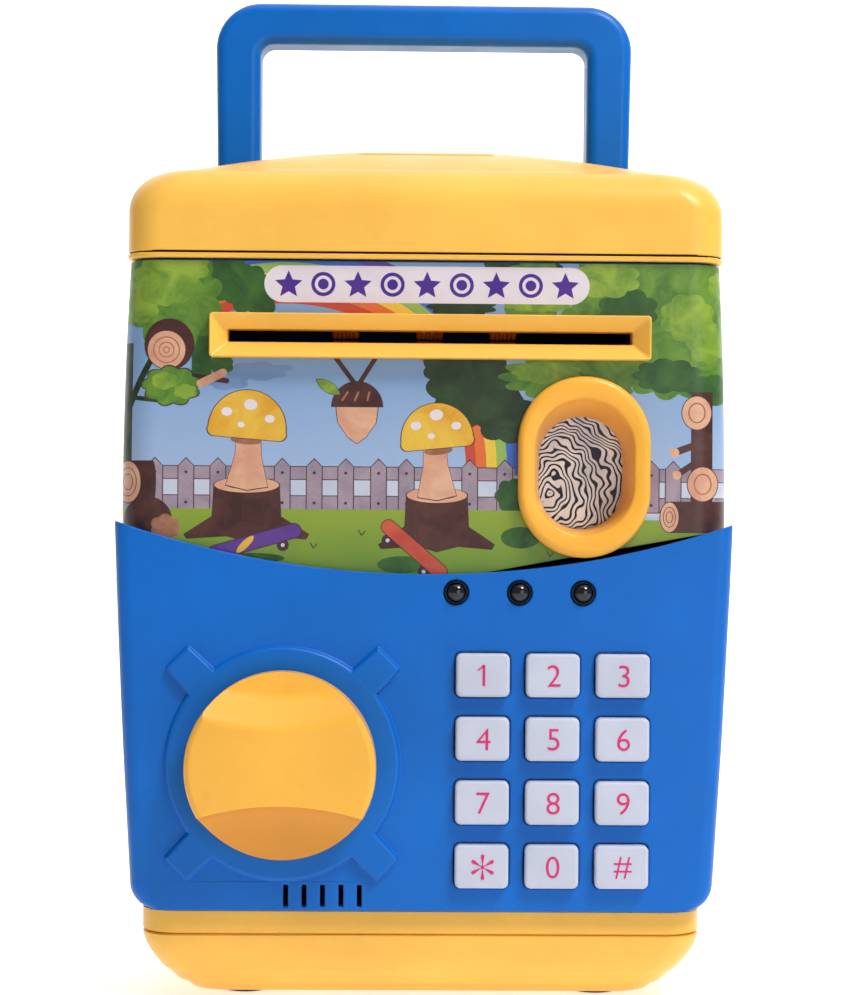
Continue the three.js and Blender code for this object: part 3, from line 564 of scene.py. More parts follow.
def cap_rings(low, high, inset, plain=False):
    centre_y, half_depth = (low.y + high.y) / 2, (high.y - low.y) / 2
    wall_top = low.z + CAP_WALL_TOP
    crest = high.z - wall_top - SHOULDER_UP

    def ring(run, z, radius):
        run += inset
        return plan_ring(high.x - run, centre_y - half_depth + run, centre_y + half_depth - run, radius, z)

    seam = CAP_LIP + CAP_GROOVE
    steps = [(0, -1)] if plain else [
        (1.6, 0), (0.35, 0), (0.08, 0.12), (0, 0.3), (0, CAP_LIP - 0.2), (0.12, CAP_LIP),
        (1.1, CAP_LIP + 0.02), (1.1, seam), (0.27, seam + 0.02), (CAP_INSET, seam + 0.25)]
    rings = [ring(run, low.z + rise, CASE_CORNER) for run, rise in steps]
    base_run = 0 if plain else CAP_INSET
    for angle in spread(0, QUARTER, 12):
        run = base_run + (SHOULDER_IN - base_run) * (1 - math.cos(angle))
        z = wall_top - inset + SHOULDER_UP * math.sin(angle)
        rings.append(ring(run, z, CASE_CORNER + (CROWN_CORNER - CASE_CORNER) * math.sin(angle)))
    for share in spread(0.96, 0.04, 22):
        half_width = (high.x - inset - SHOULDER_IN) * share
        reach = (half_depth - inset - SHOULDER_IN) * share
        corner = CROWN_CORNER * share
        radius = corner + (min(half_width, reach) - corner) * (1 - share) * 0.9
        z = high.z - inset - crest * share**2
        rings.append(plan_ring(half_width, centre_y - reach, centre_y + reach, radius, z))
    return rings


def make_cap():
    low, high = span("top_cap")
    cap = loft("top_cap_shell", cap_rings(low, high, 0), [yellow_plastic, seam_dark])
    groove = low.z + CAP_LIP + CAP_GROOVE / 2
    paint(cap, 1, lambda place: abs(place.z - groove) < CAP_GROOVE * 0.6)
    cutters = [loft("hollow", cap_rings(low, high, WALL, plain=True))]
    leg_low, leg_high = span("handle_guide_left")
    leg_x, leg_y = abs((leg_low.x + leg_high.x) / 2), (leg_low.y + leg_high.y) / 2
    for x in (-leg_x, leg_x):
        cutters.append(upright("leg_hole", rounded(x, leg_y, *LEG_HOLE), THROUGH_CAP))
    cutters.append(upright("coin_slot", rounded(0, COIN_SLOT_Y, *COIN_SLOT), THROUGH_CAP))
    carve(cap, cutters)
    round_edges(cap, 0.35, 3, 50)
    finish_piece(smooth(cap), "case", "top_cap")


# The base: a shallow bowl with a seam below its rim and a faint step near the bottom.
BASE_RUN_IN = 9.6
BASE_RIM_DROP = 5.2
BASE_STEP_LOW, BASE_STEP_TOP = 2.4, 5.5
FOOT_POCKET, SCREW_HOLE = 6.2, 3


def make_base():
    low, high = span("base_tray")
    rim = high.z - BASE_RIM_DROP

    def run(z):
        share = (z - low.z) / (rim - low.z)
        return BASE_RUN_IN * max(0, 1 - share) ** 1.6 + (0.3 if z < low.z + BASE_STEP_TOP else 0)

    step_z = low.z + BASE_STEP_LOW
    step_run = run(step_z)
    profile = [(BASE_RUN_IN + 1.6, low.z), (BASE_RUN_IN + 0.7, low.z + 0.25), (step_run + 1.1, step_z - 0.5),
               (step_run + 0.75, step_z - 0.12), (step_run + 0.2, step_z - 0.05)]
    heights = spread(step_z, low.z + BASE_STEP_TOP - 0.1, 4)
    heights += spread(low.z + BASE_STEP_TOP + 0.05, rim - 0.3, 8)
    profile += [(run(z), z) for z in heights]
    profile += [(0.35, rim - 0.06), (0.9, rim), (0.9, rim + 0.25), (0.25, rim + 0.3), (0, rim + 0.6)]
    profile += [(0, high.z), (WALL, high.z), (WALL, rim)]
    profile += [(run(z) + WALL, z + 1.2) for z in spread(rim - 2, low.z + 1.2, 5)]
    rings = [plan_ring(high.x - inset, low.y + inset, high.y - inset, CASE_CORNER, z) for inset, z in profile]
    base = loft("base_bowl", rings, [yellow_plastic])
    cover_low, cover_high = span("battery_cover")
    cutters = [block("cover_hole", (cover_low.x - GAP, cover_low.y - GAP, -1),
                     (cover_high.x + GAP, cover_high.y + GAP, 4))]
    for index in range(1, 5):
        foot, screw = middle(f"foot_{index}"), middle(f"case_screw_{index}")
        cutters.append(upright("pocket", circle(foot.x, foot.y, FOOT_POCKET, 40), (0, 2)))
        cutters.append(upright("screw_hole", circle(screw.x, screw.y, SCREW_HOLE, 32), (0, 5.8)))
    carve(base, cutters)
    finish_piece(smooth(base), "case", "base_tray")


# The rear shell: sides and back, with lips behind the door's edges.
LIP_X, LIP_Y = (53.2, 54.7), -45
WEB_X, WEB_DEPTH = (53.4, 62), 3


def shell_section(z, fronts, back):
    """The wall's U-shaped outline from above, from the left front edge round the outside and back inside."""
    half_width = case_half_width(z)

    def side(run):
        width, corner, edge = half_width - run, CASE_CORNER - run, back - run
        right = [(width, fronts[1])] + arc(width - corner, edge - corner, corner, 0, 90, 12)
        left = arc(corner - width, edge - corner, corner, 90, 180, 12) + [(-width, fronts[0])]
        return right + left

    return [(x, y, z) for x, y in side(0) + list(reversed(side(WALL)))]


def make_rear_shell():
    low, high = span("rear_shell")
    front_low, front_high = span("upper_front_shell")
    split_y = front_high.y + GAP
    door_back = span("front_door")[0].y + RING_RISE + DOOR_DEPTH + GAP
    lower = [shell_section(z, (door_back, split_y), high.y) for z in spread(low.z, front_low.z, 14)]
    upper = [shell_section(z, (split_y, split_y), high.y) for z in spread(front_low.z, high.z, 14)]
    shell = loft("rear_shell_wall", lower + upper, [blue_plastic])
    extras = []
    for side in (-1, 1):
        for name, reach, front in (("lip", LIP_X, LIP_Y), ("web", WEB_X, split_y)):
            x0, x1 = sorted(side * x for x in reach)
            extras.append(block(name, (x0, front, low.z + 3), (x1, split_y + WEB_DEPTH, front_low.z - GAP)))
    carve(shell, extras, "UNION")
    round_edges(shell, 0.3, 2, 50)
    finish_piece(smooth(shell), "case", "rear_shell")


# The door: rounded lower corners, a top edge like a smile, and a thin lip where it laps over the label.
DOOR_THICK = 1.8
DOOR_DEPTH = 9.5
DOOR_LIP = 2.4
DOOR_CORNER = 5.6
DOOR_EDGE = 3.4
DOOR_OVERHANG = 1
INNER_CORNER = 5
SMILE_LOW_Z = 96
SMILE_RADIUS = 213
ABOVE_DOOR = 114
RING_RISE = 1.6
RING_RADIUS = 25.9
TAB_REACH, TAB_FOOT, TAB_END = 33.2, 4.7, 3.5
KNUCKLE_RADIUS, KNUCKLE_HEIGHTS, PIN_BORE = 2.9, (5.4, 5.6), 1.5
SLIT = (0.5, 2.4, 0.25)
SLIT_XS, SLIT_RISE = spread(-30.2, -13.9, 4), 3.4
KEY_HOLE = (6.2, 5.05, 1.5)
SPINDLE_HOLE = 3.3
OUTSIDE = 100  # cutters run this far to each side
CUT_TOP = 150
FRONT_CUT = (-60, -40)


def door_ring(z, inset, bottom, front):
    """A section from above. Below, the sides turn in round the door's lower corners."""
    rise = min(1, max(0, (z - bottom) / DOOR_CORNER))
    turn_in = DOOR_CORNER * (1 - math.sqrt(1 - (1 - rise) ** 2))
    half_width = case_half_width(min(z, BELLY_Z)) + DOOR_OVERHANG - inset - turn_in
    return plan_ring(half_width, front + inset, 0, DOOR_EDGE - inset * 0.9, z, 10)


def make_door():
    low, high = span("front_door")
    face_y = low.y + RING_RISE
    heights = [low.z + DOOR_CORNER * (1 - math.cos(a)) for a in spread(0, QUARTER, 9)]
    heights += spread(low.z + 6.5, high.z + 3, 20)
    door = loft("front_door_shell", [door_ring(z, 0, low.z, face_y) for z in heights], [blue_plastic])
    carve(door, door_hollows(low.z, face_y))
    knob = middle("door_knob")
    ring = stack("ring", lambda inset: circle(knob.x, knob.z, RING_RADIUS - inset, 120),
                 [(0, face_y + 1)] + fillet(0, low.y, 0.9, 1, 5), [blue_plastic])
    tabs = [make_tab(knob, low.y + 0.02, face_y, degrees) for degrees in (45, 135, 225, 315)]
    carve(door, [ring, *tabs, *hinge_knuckles(face_y)], "UNION")
    carve(door, door_holes(knob, low.z))
    flatten(door)
    round_edges(door, 0.35, 3, 38)
    finish_piece(smooth(door, 30, flat_front=True), "door", "front_door")


def door_hollows(bottom, face_y):
    """What is taken out behind the face and above the curved top edge. Higher up, where the door laps over
    the label, only a thin lip follows the case's corners."""
    lap_z = span("upper_front_shell")[0].z - GAP
    inner_low = bottom + DOOR_THICK
    inner_heights = [inner_low + INNER_CORNER * (1 - math.cos(a)) for a in spread(0, QUARTER, 6)]
    inner = [door_ring(z, DOOR_THICK, inner_low, face_y) for z in inner_heights + [inner_low + 8, ABOVE_DOOR]]
    lap = [plan_ring(case_half_width(z) + GAP, face_y + DOOR_THICK, 20, CASE_CORNER, z)
           for z in spread(lap_z, ABOVE_DOOR, 6)]
    smile = [(x, SMILE_LOW_Z + SMILE_RADIUS - math.sqrt(SMILE_RADIUS**2 - x**2)) for x in spread(-80, 80, 64)]
    return [
        loft("inner", inner),
        block("behind", (-OUTSIDE, face_y + DOOR_DEPTH, 0), (OUTSIDE, 10, CUT_TOP)),
        loft("lap", lap),
        block("over", (-OUTSIDE, face_y + DOOR_LIP, lap_z), (OUTSIDE, 10, CUT_TOP)),
        plate("smile", smile + [(80, CUT_TOP), (-80, CUT_TOP)], (-80, 20)),
    ]


def hinge_knuckles(face_y):
    pin = middle("hinge_pin_upper")
    upper_z, lower_z = span("hinge_pin_upper")[0].z, span("hinge_pin_lower")[1].z
    pieces = []
    for heights in ((upper_z, upper_z + KNUCKLE_HEIGHTS[0]), (lower_z - KNUCKLE_HEIGHTS[1], lower_z)):
        pieces.append(upright("knuckle", circle(pin.x, pin.y, KNUCKLE_RADIUS, 24), heights, [blue_plastic]))
        pieces.append(block("web", (pin.x - 2.4, face_y + DOOR_THICK - 0.4, heights[0]),
                            (pin.x + 1.2, pin.y, heights[1]), [blue_plastic]))
    return pieces


def door_holes(knob, bottom):
    pin = middle("hinge_pin_upper")
    low_z, high_z = (corner.z for corner in span("hinge_pin_lower"))
    holes = [block("lug_room", (pin.x - 4, pin.y - 5, low_z - 0.4),
                   (80, pin.y + 2, high_z - KNUCKLE_HEIGHTS[1]))]
    for heights in ((span("hinge_pin_upper")[0].z - 1, pin.z), (low_z, high_z + 1)):
        holes.append(upright("bore", circle(pin.x, pin.y, PIN_BORE, 20), heights))
    outlines = [rounded(key.x, key.z, *KEY_HOLE, 5) for key in (middle(f"key_{name}") for name in KEY_NAMES)]
    for lamp in (middle(f"indicator_lamp_{index}") for index in (1, 2, 3)):
        outlines.append(circle(lamp.x, lamp.z, LAMP_RADIUS + 0.15, 36))
    outlines += [rounded(x, bottom + SLIT_RISE, *SLIT, 4) for x in SLIT_XS]
    outlines.append(circle(knob.x, knob.z, SPINDLE_HOLE, 32))
    return holes + [plate("hole", outline, FRONT_CUT) for outline in outlines]


def make_tab(knob, front, face_y, degrees):
    c, s = math.cos(math.radians(degrees)), math.sin(math.radians(degrees))

    def outline(inset):
        end, foot_half, end_half = TAB_REACH - inset, TAB_FOOT - inset, TAB_END - inset
        corners = [(10, -foot_half), (end, -end_half), (end, end_half), (10, foot_half)]
        return [(knob.x + u * c - v * s, knob.z + u * s + v * c) for u, v in corners]

    return stack("tab", outline, [(0, face_y + 1)] + fillet(0, front, 0.7, 1, 4), [blue_plastic])


# The knob: a disc whose face falls away in a long curve above and below its grip bar.
HALF_BAR = 7.7
SCOOP_RADIUS = 60


def make_knob():
    low, high, centre = extent("door_knob")
    radius = (high.x - low.x) / 2
    materials = [knob_plastic, painted_shade_scoop_plastic]
    profile = [(0.6, high.y), (0, high.y - 0.6)] + fillet(0, low.y, 1.6, 1, 7)
    knob = stack("knob_body", lambda inset: circle(centre.x, centre.z, radius - inset, 140), profile,
                 materials)
    steep = [(24 * (1 - math.cos(a)), low.y + 0.15 + 11 * math.sin(a)) for a in spread(0, 1.5, 16)]
    rolled = [(9 * a, low.y - 0.05 + 6.5 * a * a * (3 - 2 * a)) for a in spread(0, 1, 14)]
    rolled.append((25, low.y + 7.5))
    # The lower scoop (side -1) takes the darker copy of the knob's plastic as painted shade under the grip
    # bar. The upper scoop keeps the knob's own plastic.
    for side, material, fall in ((-1, 1, steep), (1, 0, rolled)):
        centre_z = centre.z + side * (SCOOP_RADIUS + HALF_BAR)
        scoop = stack("scoop", lambda inset: circle(centre.x, centre_z, SCOOP_RADIUS - inset, 240),
                      [(0, low.y - 2)] + fall, materials)
        paint(scoop, material)
        carve(knob, [scoop])
    flatten(knob)
    finish_piece(smooth(knob, 24), "knob", "door_knob")


# Keys, each with its sign raised a little from its crowned face.
KEY_NAMES = ["1", "2", "3", "4", "5", "6", "7", "8", "9", "star", "0", "hash"]
KEY_SIGNS = {"star": "*", "hash": "#"}
KEY_HALF_WIDTH, KEY_HALF_HEIGHT = 5.95, 4.8
DIGIT_HEIGHT, STAR_HEIGHT = 4.9, 9
CAPITAL_SHARE = 0.7  # of the font's size


def sign_mesh(text, x, y, z, height):
    data = bpy.data.curves.new("sign", "FONT")
    data.body = text
    data.size = height * MM / CAPITAL_SHARE
    data.extrude = 0.06 * MM
    data.offset = -0.05 * MM
    data.resolution_u = 6
    holder = put_in_scene("sign", data)
    bpy.context.view_layer.update()
    graph = bpy.context.evaluated_depsgraph_get()
    mesh = bpy.data.meshes.new_from_object(holder.evaluated_get(graph))
    bpy.data.objects.remove(holder)
    points = [v.co for v in mesh.vertices]
    centre = Vector([(min(p[i] for p in points) + max(p[i] for p in points)) / 2 for i in range(3)])
    mesh.transform(Matrix.Translation(Vector((x, y, z)) * MM) @ Matrix.Rotation(QUARTER, 4, "X")
                   @ Matrix.Translation(-centre))
    mesh.materials.clear()
    for material in (key_plastic, digit_ink):
        mesh.materials.append(material)
    return put_in_scene("sign", mesh)


def make_key(name):
    low, high, centre = extent(f"key_{name}")
    front = low.y
    materials = [key_plastic, digit_ink]
    profile = [(0, high.y), (0, front + 0.7)] + fillet(0, front, 0.7, 1, 5)
    profile += [(1.6, front - 0.03), (3.2, front - 0.06)]

    def outline(inset):
        radius = max(0.5, 1.3 - inset * 0.5)
        return rounded(centre.x, centre.z, KEY_HALF_WIDTH - inset, KEY_HALF_HEIGHT - inset, radius, 6)

    key = stack(f"key_cap_{name}", outline, profile, materials)
    lips = block("lip", (centre.x - 5.9, high.y - 0.9, low.z), (centre.x + 5.9, high.y, high.z),
                 [key_plastic])
    carve(key, [lips], "UNION")
    text = KEY_SIGNS.get(name, name)
    height = STAR_HEIGHT if text == "*" else DIGIT_HEIGHT
    signs = [sign_mesh(text, centre.x + 0.2, front - 0.08, centre.z, height)]
    if text == "1":
        top, left = centre.z + 2.05, centre.x - 0.7
        flag = [(left - 0.55, top - 0.85), (left - 0.3, top - 1.05), (left + 0.85, top - 0.1),
                (left + 0.85, top + 0.35)]
        signs.append(plate("flag", flag, (front - 0.02, front - 0.14), materials))
    smooth(key, 40)
    for sign in signs:
        paint(sign, 1)
        merge(key, sign)
    finish_piece(key, f"button_{name}", f"key_{name}")


# The dark indicator lamps: a dome inside a collar.
LAMP_RADIUS = 2.65
COLLAR = 0.66


def make_lamp(index):
    low, high, centre = extent(f"indicator_lamp_{index}")
    rim = low.y + 1.5
    profile = [(0, high.y), (0, rim + 0.2), (0.12, rim), (0.45, rim), (0.6, rim + 0.35), (COLLAR, rim + 0.2)]
    dome = LAMP_RADIUS - COLLAR
    profile += [(COLLAR + dome * (1 - math.cos(a)), rim - 1.5 * math.sin(a)) for a in spread(0, 1.5, 9)]
    lamp = stack(f"lamp_dome_{index}", lambda inset: circle(centre.x, centre.z, LAMP_RADIUS - inset, 40),
                 profile, [smoked_lens])
    finish_piece(smooth(lamp, 40), "door", f"indicator_lamp_{index}")


# The bezels, as closed tubes whose outline runs from the outer edge (0) to the opening (1).
BEZEL_FOOT_Y = -48.9  # just in front of the label's face
SLOT_OPENING = (45, 1.4, 0.35)
WELL_DROP = 1.2
CREST = 1.6


def make_slot_bezel():
    low, high, centre = extent("slot_bezel")
    outer = ((high.x - low.x) / 2, (high.z - low.z) / 2, 0.8)

    def outline(share):
        width, height, radius = (a + (b - a) * share for a, b in zip(outer, SLOT_OPENING))
        return rounded(centre.x, centre.z, width, height, radius, 5)

    front = [(0, 0.4), (0.03, 0.12), (0.07, 0), (0.11, 0.03), (0.17, 0.2)]
    front += [(0.93, 2.6), (0.98, 2.85), (1, 3.2)]
    profile = [(0, BEZEL_FOOT_Y)] + [(share, low.y + deep) for share, deep in front]
    profile += [(1, high.y), (0.5, high.y), (0.5, BEZEL_FOOT_Y)]
    bezel = stack("slot_frame", outline, profile, [yellow_plastic], closed=True)
    finish_piece(smooth(bezel, 28), "case", "slot_bezel")


def make_fingerprint_bezel():
    """A ring with a rounded crest, and a well that narrows and drops a little towards the pad."""
    low, high, centre = extent("fingerprint_bezel")
    outer = Vector(((high.x - low.x) / 2, (high.z - low.z) / 2))
    mouth, well = Vector((10.9, 14.9)), Vector((9.5, 12.7))
    sleeve, flange = Vector((10.5, 14.5)), Vector((12.5, 18))
    face, pad_y = low.y, span("fingerprint_pad")[0].y
    well_top = face + 0.25 + CREST

    def ring(size, y, drop=0.0):
        return [(x, y, z) for x, z in rounded(centre.x, centre.z - drop, size.x, size.y, size.x - 0.05, 24)]

    rings = [ring(outer, BEZEL_FOOT_Y), ring(outer, face + CREST)]
    crest = outer.lerp(mouth, 0.36)
    for angle in spread(0.25, QUARTER, 6):
        rings.append(ring(outer.lerp(crest, 1 - math.cos(angle)), face + CREST * (1 - math.sin(angle))))
    rings += [ring(outer.lerp(mouth, 0.62), face + 0.05), ring(outer.lerp(mouth, 0.85), face + 0.25)]
    for angle in spread(0.35, QUARTER, 5):
        inward = outer.lerp(mouth, 0.85 + 0.15 * math.sin(angle))
        rings.append(ring(inward, face + 0.25 + CREST * (1 - math.cos(angle))))
    for share in spread(0.15, 1, 8):
        y = well_top + (pad_y - 0.3 - well_top) * share
        rings.append(ring(mouth.lerp(well, share**0.8), y, WELL_DROP * share))
    rings.append(ring(well + Vector((0.4, 0.4)), pad_y - 0.25, WELL_DROP))
    rings += [ring(sleeve, pad_y - 0.2), ring(sleeve, high.y)]
    rings += [ring(flange, high.y), ring(flange, BEZEL_FOOT_Y)]
    bezel = loft("fingerprint_ring", rings, [ring_plastic], closed=True)
    finish_piece(smooth(bezel, 35), "case", "fingerprint_bezel")


def make_fingerprint_pad():
    low, high, centre = extent("fingerprint_pad")
    width, height = (high.x - low.x) / 2, (high.z - low.z) / 2

    def outline(inset):
        return rounded(centre.x, centre.z, width - inset, height - inset, (width - inset) * 0.98, 20)

    profile = [(0, high.y), (0, low.y + 0.6)] + fillet(0, low.y, 0.6, 1, 4) + [(3, low.y), (6, low.y)]
    pad = stack("fingerprint_plate", outline, profile, [pad_foil])
    finish_piece(smooth(pad, 40), "print_pad", "fingerprint_pad")


# The handle: an arch with well-rounded edges, and a stop at the foot of each leg.
HANDLE_OUTER, HANDLE_INNER, HANDLE_EDGE = 11, 3.2, 2.6
HANDLE_LEG, HANDLE_BAR, HANDLE_HALF_DEPTH = 11, 10, 6
HANDLE_TAPER = 1.1
STOP_REACH = 1.5  # how far a stop stands out past its leg
STOP_X, STOP_HALF_WIDTH, STOP_HALF_DEPTH, STOP_HEIGHT = 45.8, 6.7, 7.5, 2.5


def make_handle():
    low, high = span("carry_handle")
    half = high.x - STOP_REACH
    centre_y = (low.y + high.y) / 2

    def outline(inset):
        outer, inner = half - inset, half - HANDLE_LEG + inset
        under = high.z - HANDLE_BAR + inset
        ro, ri = HANDLE_OUTER - inset, HANDLE_INNER + inset
        points = arc(outer - ro, high.z - inset - ro, ro, 0, 90, 14)
        points += arc(ro - outer, high.z - inset - ro, ro, 90, 180, 14)
        points += [(-outer + HANDLE_TAPER, low.z), (-inner + HANDLE_TAPER * 0.2, low.z)]
        points += arc(-inner + ri, under - ri, ri, 180, 90, 8)
        points += arc(inner - ri, under - ri, ri, 90, 0, 8)
        points += [(inner - HANDLE_TAPER * 0.2, low.z), (outer - HANDLE_TAPER, low.z)]
        return points

    front, back = centre_y - HANDLE_HALF_DEPTH, centre_y + HANDLE_HALF_DEPTH
    profile = list(reversed(fillet(0, back, HANDLE_EDGE, -1, 7))) + fillet(0, front, HANDLE_EDGE, 1, 7)
    handle = stack("handle_arch", outline, profile, [blue_plastic])
    stops = [block("stop", (x - STOP_HALF_WIDTH, centre_y - STOP_HALF_DEPTH, low.z),
                   (x + STOP_HALF_WIDTH, centre_y + STOP_HALF_DEPTH, low.z + STOP_HEIGHT), [blue_plastic])
             for x in (-STOP_X, STOP_X)]
    carve(handle, stops, "UNION")
    finish_piece(smooth(handle, 40), "handle", "carry_handle")


# Rollers, with rubber sleeves on steel shafts.
SLEEVES = (-18, 1, 17.6)
SHAFT = 1.5


def turned_across(name, y, z, profile, materials, steps=40):
    """A piece turned about an axis along X: the profile is (radius, x) from one end to the other."""
    angles = [2 * math.pi * step / steps for step in range(steps)]
    return loft(name, [[(x, y + radius * math.cos(a), z + radius * math.sin(a)) for a in angles]
                       for radius, x in profile], materials)


def make_roller(node, body):
    low, high = span(node)
    y, z = (low.y + high.y) / 2, (low.z + high.z) / 2
    radius = (high.z - low.z) / 2
    profile = [(1.2, low.x), (SHAFT, low.x + 0.3)]
    for x in SLEEVES:
        profile += [(SHAFT, x - 3), (radius - 0.4, x - 3), (radius, x - 2.6)]
        for groove in spread(x - 1.8, x + 1.8, 4):
            profile += [(radius, groove - 0.2), (radius - 0.35, groove), (radius, groove + 0.2)]
        profile += [(radius, x + 2.6), (radius - 0.4, x + 3), (SHAFT, x + 3)]
    profile += [(SHAFT, high.x - 0.3), (1.2, high.x)]
    roller = turned_across(f"{node}_turned", y, z, profile, [steel, roller_rubber])
    paint(roller, 1, lambda place: math.hypot(place.y - y, place.z - z) > SHAFT + 0.2)
    finish_piece(smooth(roller, 30), body, node)


# Feet, pins and screws are turned about an upright axis: their profiles are (radius, z).
SCREW_HEAD, THREAD_PITCH, THREAD_DEPTH = 1.4, 0.9, 0.35
CROSS_WIDTH, CROSS_DEPTH = 0.28, 0.7


def turned_up(node, material, profile, steps):
    centre = middle(node)
    rings = [[(x, y, z) for x, y in circle(centre.x, centre.y, radius, steps)] for radius, z in profile]
    return loft(f"{node}_turned", rings, [material])


def make_foot(index):
    node = f"foot_{index}"
    low, high = span(node)
    profile = [(5.4, low.z), (5.8, low.z + 0.15), (6, low.z + 0.5), (6, high.z)]
    finish_piece(smooth(turned_up(node, foot_rubber, profile, 32), 30), "case", node)


def make_pin(node):
    low, high = span(node)
    profile = [(0.9, low.z), (1.25, low.z + 0.3), (1.25, high.z - 0.3), (0.9, high.z)]
    finish_piece(smooth(turned_up(node, steel, profile, 24), 30), "case", node)


def make_screw(node, radius, head_radius):
    """A pan-head screw seen from below, with a cross cut in its head."""
    low, high, centre = extent(node)
    head = low.z + SCREW_HEAD
    profile = [(head_radius - 0.7, low.z), (head_radius - 0.2, low.z + 0.3), (head_radius, low.z + 0.8),
               (head_radius, head), (radius, head + 0.02)]
    for turn in range(int((high.z - head - 1) / THREAD_PITCH)):
        z = head + 0.4 + turn * THREAD_PITCH
        profile += [(radius, z), (radius - THREAD_DEPTH, z + THREAD_PITCH / 2)]
    profile += [(radius, high.z - 0.8), (0.2, high.z)]
    screw = turned_up(node, steel, profile, 24)
    arm = head_radius * 0.62
    cutters = [block("cross", (centre.x - a, centre.y - b, low.z - 1),
                     (centre.x + a, centre.y + b, low.z + CROSS_DEPTH))
               for a, b in ((arm, CROSS_WIDTH), (CROSS_WIDTH, arm))]
    carve(screw, cutters)
    finish_piece(smooth(screw, 30), "case", node)


def make_battery(index):
    low, high, centre = extent(f"battery_{index}")
    radius = (high.z - low.z) / 2
    end = high.x
    profile = [(radius - 1.2, low.x), (radius - 0.2, low.x + 0.1), (radius, low.x + 0.5), (radius, end - 1.5)]
    profile += [(radius - 0.3, end - 1.1), (radius - 1.4, end - 1)]
    profile += [(2.7, end - 1.02), (2.6, end - 0.2), (2.3, end)]
    cell = turned_across(f"battery_cell_{index}", centre.y, centre.z, profile, [battery_skin], 36)
    finish_piece(smooth(cell, 30), "case", f"battery_{index}")


# The printed label: flat shapes laid over each other in a plane, cut into one mesh whose faces take the
# material of the topmost shape, then wrapped round the front of the case. Places are given as (x, z), as they
# are seen from the front, and x runs on past the case's half width on to the side strips.
LABEL_HALF = 67.3
ART_Z = 4  # the height on the bank of the picture's own zero
SHEET = 0.35
INK_TONE = 0.82
LOBE_DEPTH = 0.16
SIDE = 73  # x out on the side strips, where the painted ground ends
PICKET_TOP, PICKET_HALF = 117.3, 1.65
SLOT_CUT, RING_CUT = (48.2, 4.2, 1.1), (12.7, 18.2, 12.6)  # where the bezels stand in the label
ACROSS_BENDS = 14  # steps round each corner of the case
FLAT = LABEL_HALF - CASE_CORNER
CORNER_RUN = CASE_CORNER * math.pi / 2


def along(x):
    """How far round the label a place lies that is seen at this x."""
    reach = abs(x)
    if reach > LABEL_HALF:
        reach = FLAT + CORNER_RUN + reach - LABEL_HALF
    elif reach > FLAT:
        reach = FLAT + CASE_CORNER * math.asin((reach - FLAT) / CASE_CORNER)
    return math.copysign(reach, x)


def wrapped(u, z, front, depth):
    """The point at this distance round the label, this deep in the sheet."""
    flat = case_half_width(z) - CASE_CORNER
    reach, radius = abs(u), CASE_CORNER - depth
    if reach <= flat:
        x, y = reach, front + depth
    elif reach <= flat + CORNER_RUN:
        angle = (reach - flat) / CASE_CORNER
        x, y = flat + radius * math.sin(angle), front + CASE_CORNER - radius * math.cos(angle)
    else:
        x, y = flat + radius, front + CASE_CORNER + reach - flat - CORNER_RUN
    return (math.copysign(x, u), y, z)


def printed(name, colour, other, scale=60, detail=4):
    """Ink under a clear film: two tones in painterly patches, a fine dot screen and a little orange peel."""
    nodes = Nodes(name)
    colour, other = shade(colour, INK_TONE), shade(other, INK_TONE)
    patch = nodes.noise(scale, detail, 0.6, 0.8)
    tone = nodes.ramp(patch, (0.36, colour), (0.64, other))
    tone = nodes.mix(nodes.range(nodes.noise(4200, 1), 0, 0.12), tone, shade(colour, 0.7))
    return film(nodes, tone)


def ink(name, colour, other, *texture):
    return printed(f"print_{name}", linear(*colour), linear(*other), *texture)


def graded(name, low_z, high_z, low, high):
    """Ink that runs from one colour at the bottom to another at the top, a little cloudy."""
    nodes = Nodes(name)
    low, high = shade(linear(*low), INK_TONE), shade(linear(*high), INK_TONE)
    rise = nodes.range(nodes.axis("Z"), 0, 1, (low_z + ART_Z) * MM, (high_z + ART_Z) * MM)
    haze = nodes.range(nodes.noise(40, 4, 0.6, 1.0), 0, 0.35)
    return film(nodes, nodes.mix(haze, nodes.mix(rise, low, high), shade(high, 1.12)))


def film(nodes, tone):
    nodes.bump(nodes.noise(900, 2), 0.03, 0.0002)
    return nodes.set(Base_Color=tone, Roughness=nodes.range(nodes.noise(80), 0.3, 0.42))


sky = graded("print_sky", 108, 140, (178, 198, 230), (133, 168, 212))
grass = graded("print_grass", 92, 107, (92, 136, 48), (146, 168, 52))
cloud = ink("cloud", (112, 146, 196), (128, 160, 206))
leaf_light = ink("leaf_light", (104, 148, 48), (156, 184, 62), 160, 8)
leaf_mid = ink("leaf_mid", (74, 122, 40), (116, 158, 54), 180, 8)
leaf_dark = ink("leaf_dark", (28, 48, 28), (50, 76, 38), 160, 8)
bush = ink("bush", (34, 78, 34), (64, 112, 42), 140, 8)
fence_wood = ink("fence", (150, 132, 150), (178, 158, 170), 120)
fence_gap = ink("fence_gap", (198, 206, 226), (214, 218, 232))
outline_ink = ink("outline", (60, 34, 44), (78, 46, 54))
bark = ink("bark", (66, 32, 30), (92, 50, 42), 150)
cut_wood = ink("cut_wood", (222, 158, 128), (238, 186, 152), 120)
stone = ink("stone", (150, 96, 70), (186, 128, 96), 150)
pill_white = ink("pill", (236, 222, 232), (244, 234, 240))
violet_ink = ink("violet", (62, 36, 146), (88, 40, 150))
mushroom_yellow = ink("mushroom", (232, 166, 40), (246, 200, 72), 90)
board_violet = ink("board_violet", (84, 50, 132), (112, 66, 158))
board_red = ink("board_red", (190, 66, 52), (214, 96, 66))
RAINBOW = (-30.9, 115.7, 40, 36.2)  # the middle and half sizes of the sky under it
RAINBOW_STEP = 2.3
BAND_COLOURS = [(198, 74, 56), (228, 112, 50), (238, 200, 66), (150, 182, 92), (64, 108, 200), (96, 74, 164)]


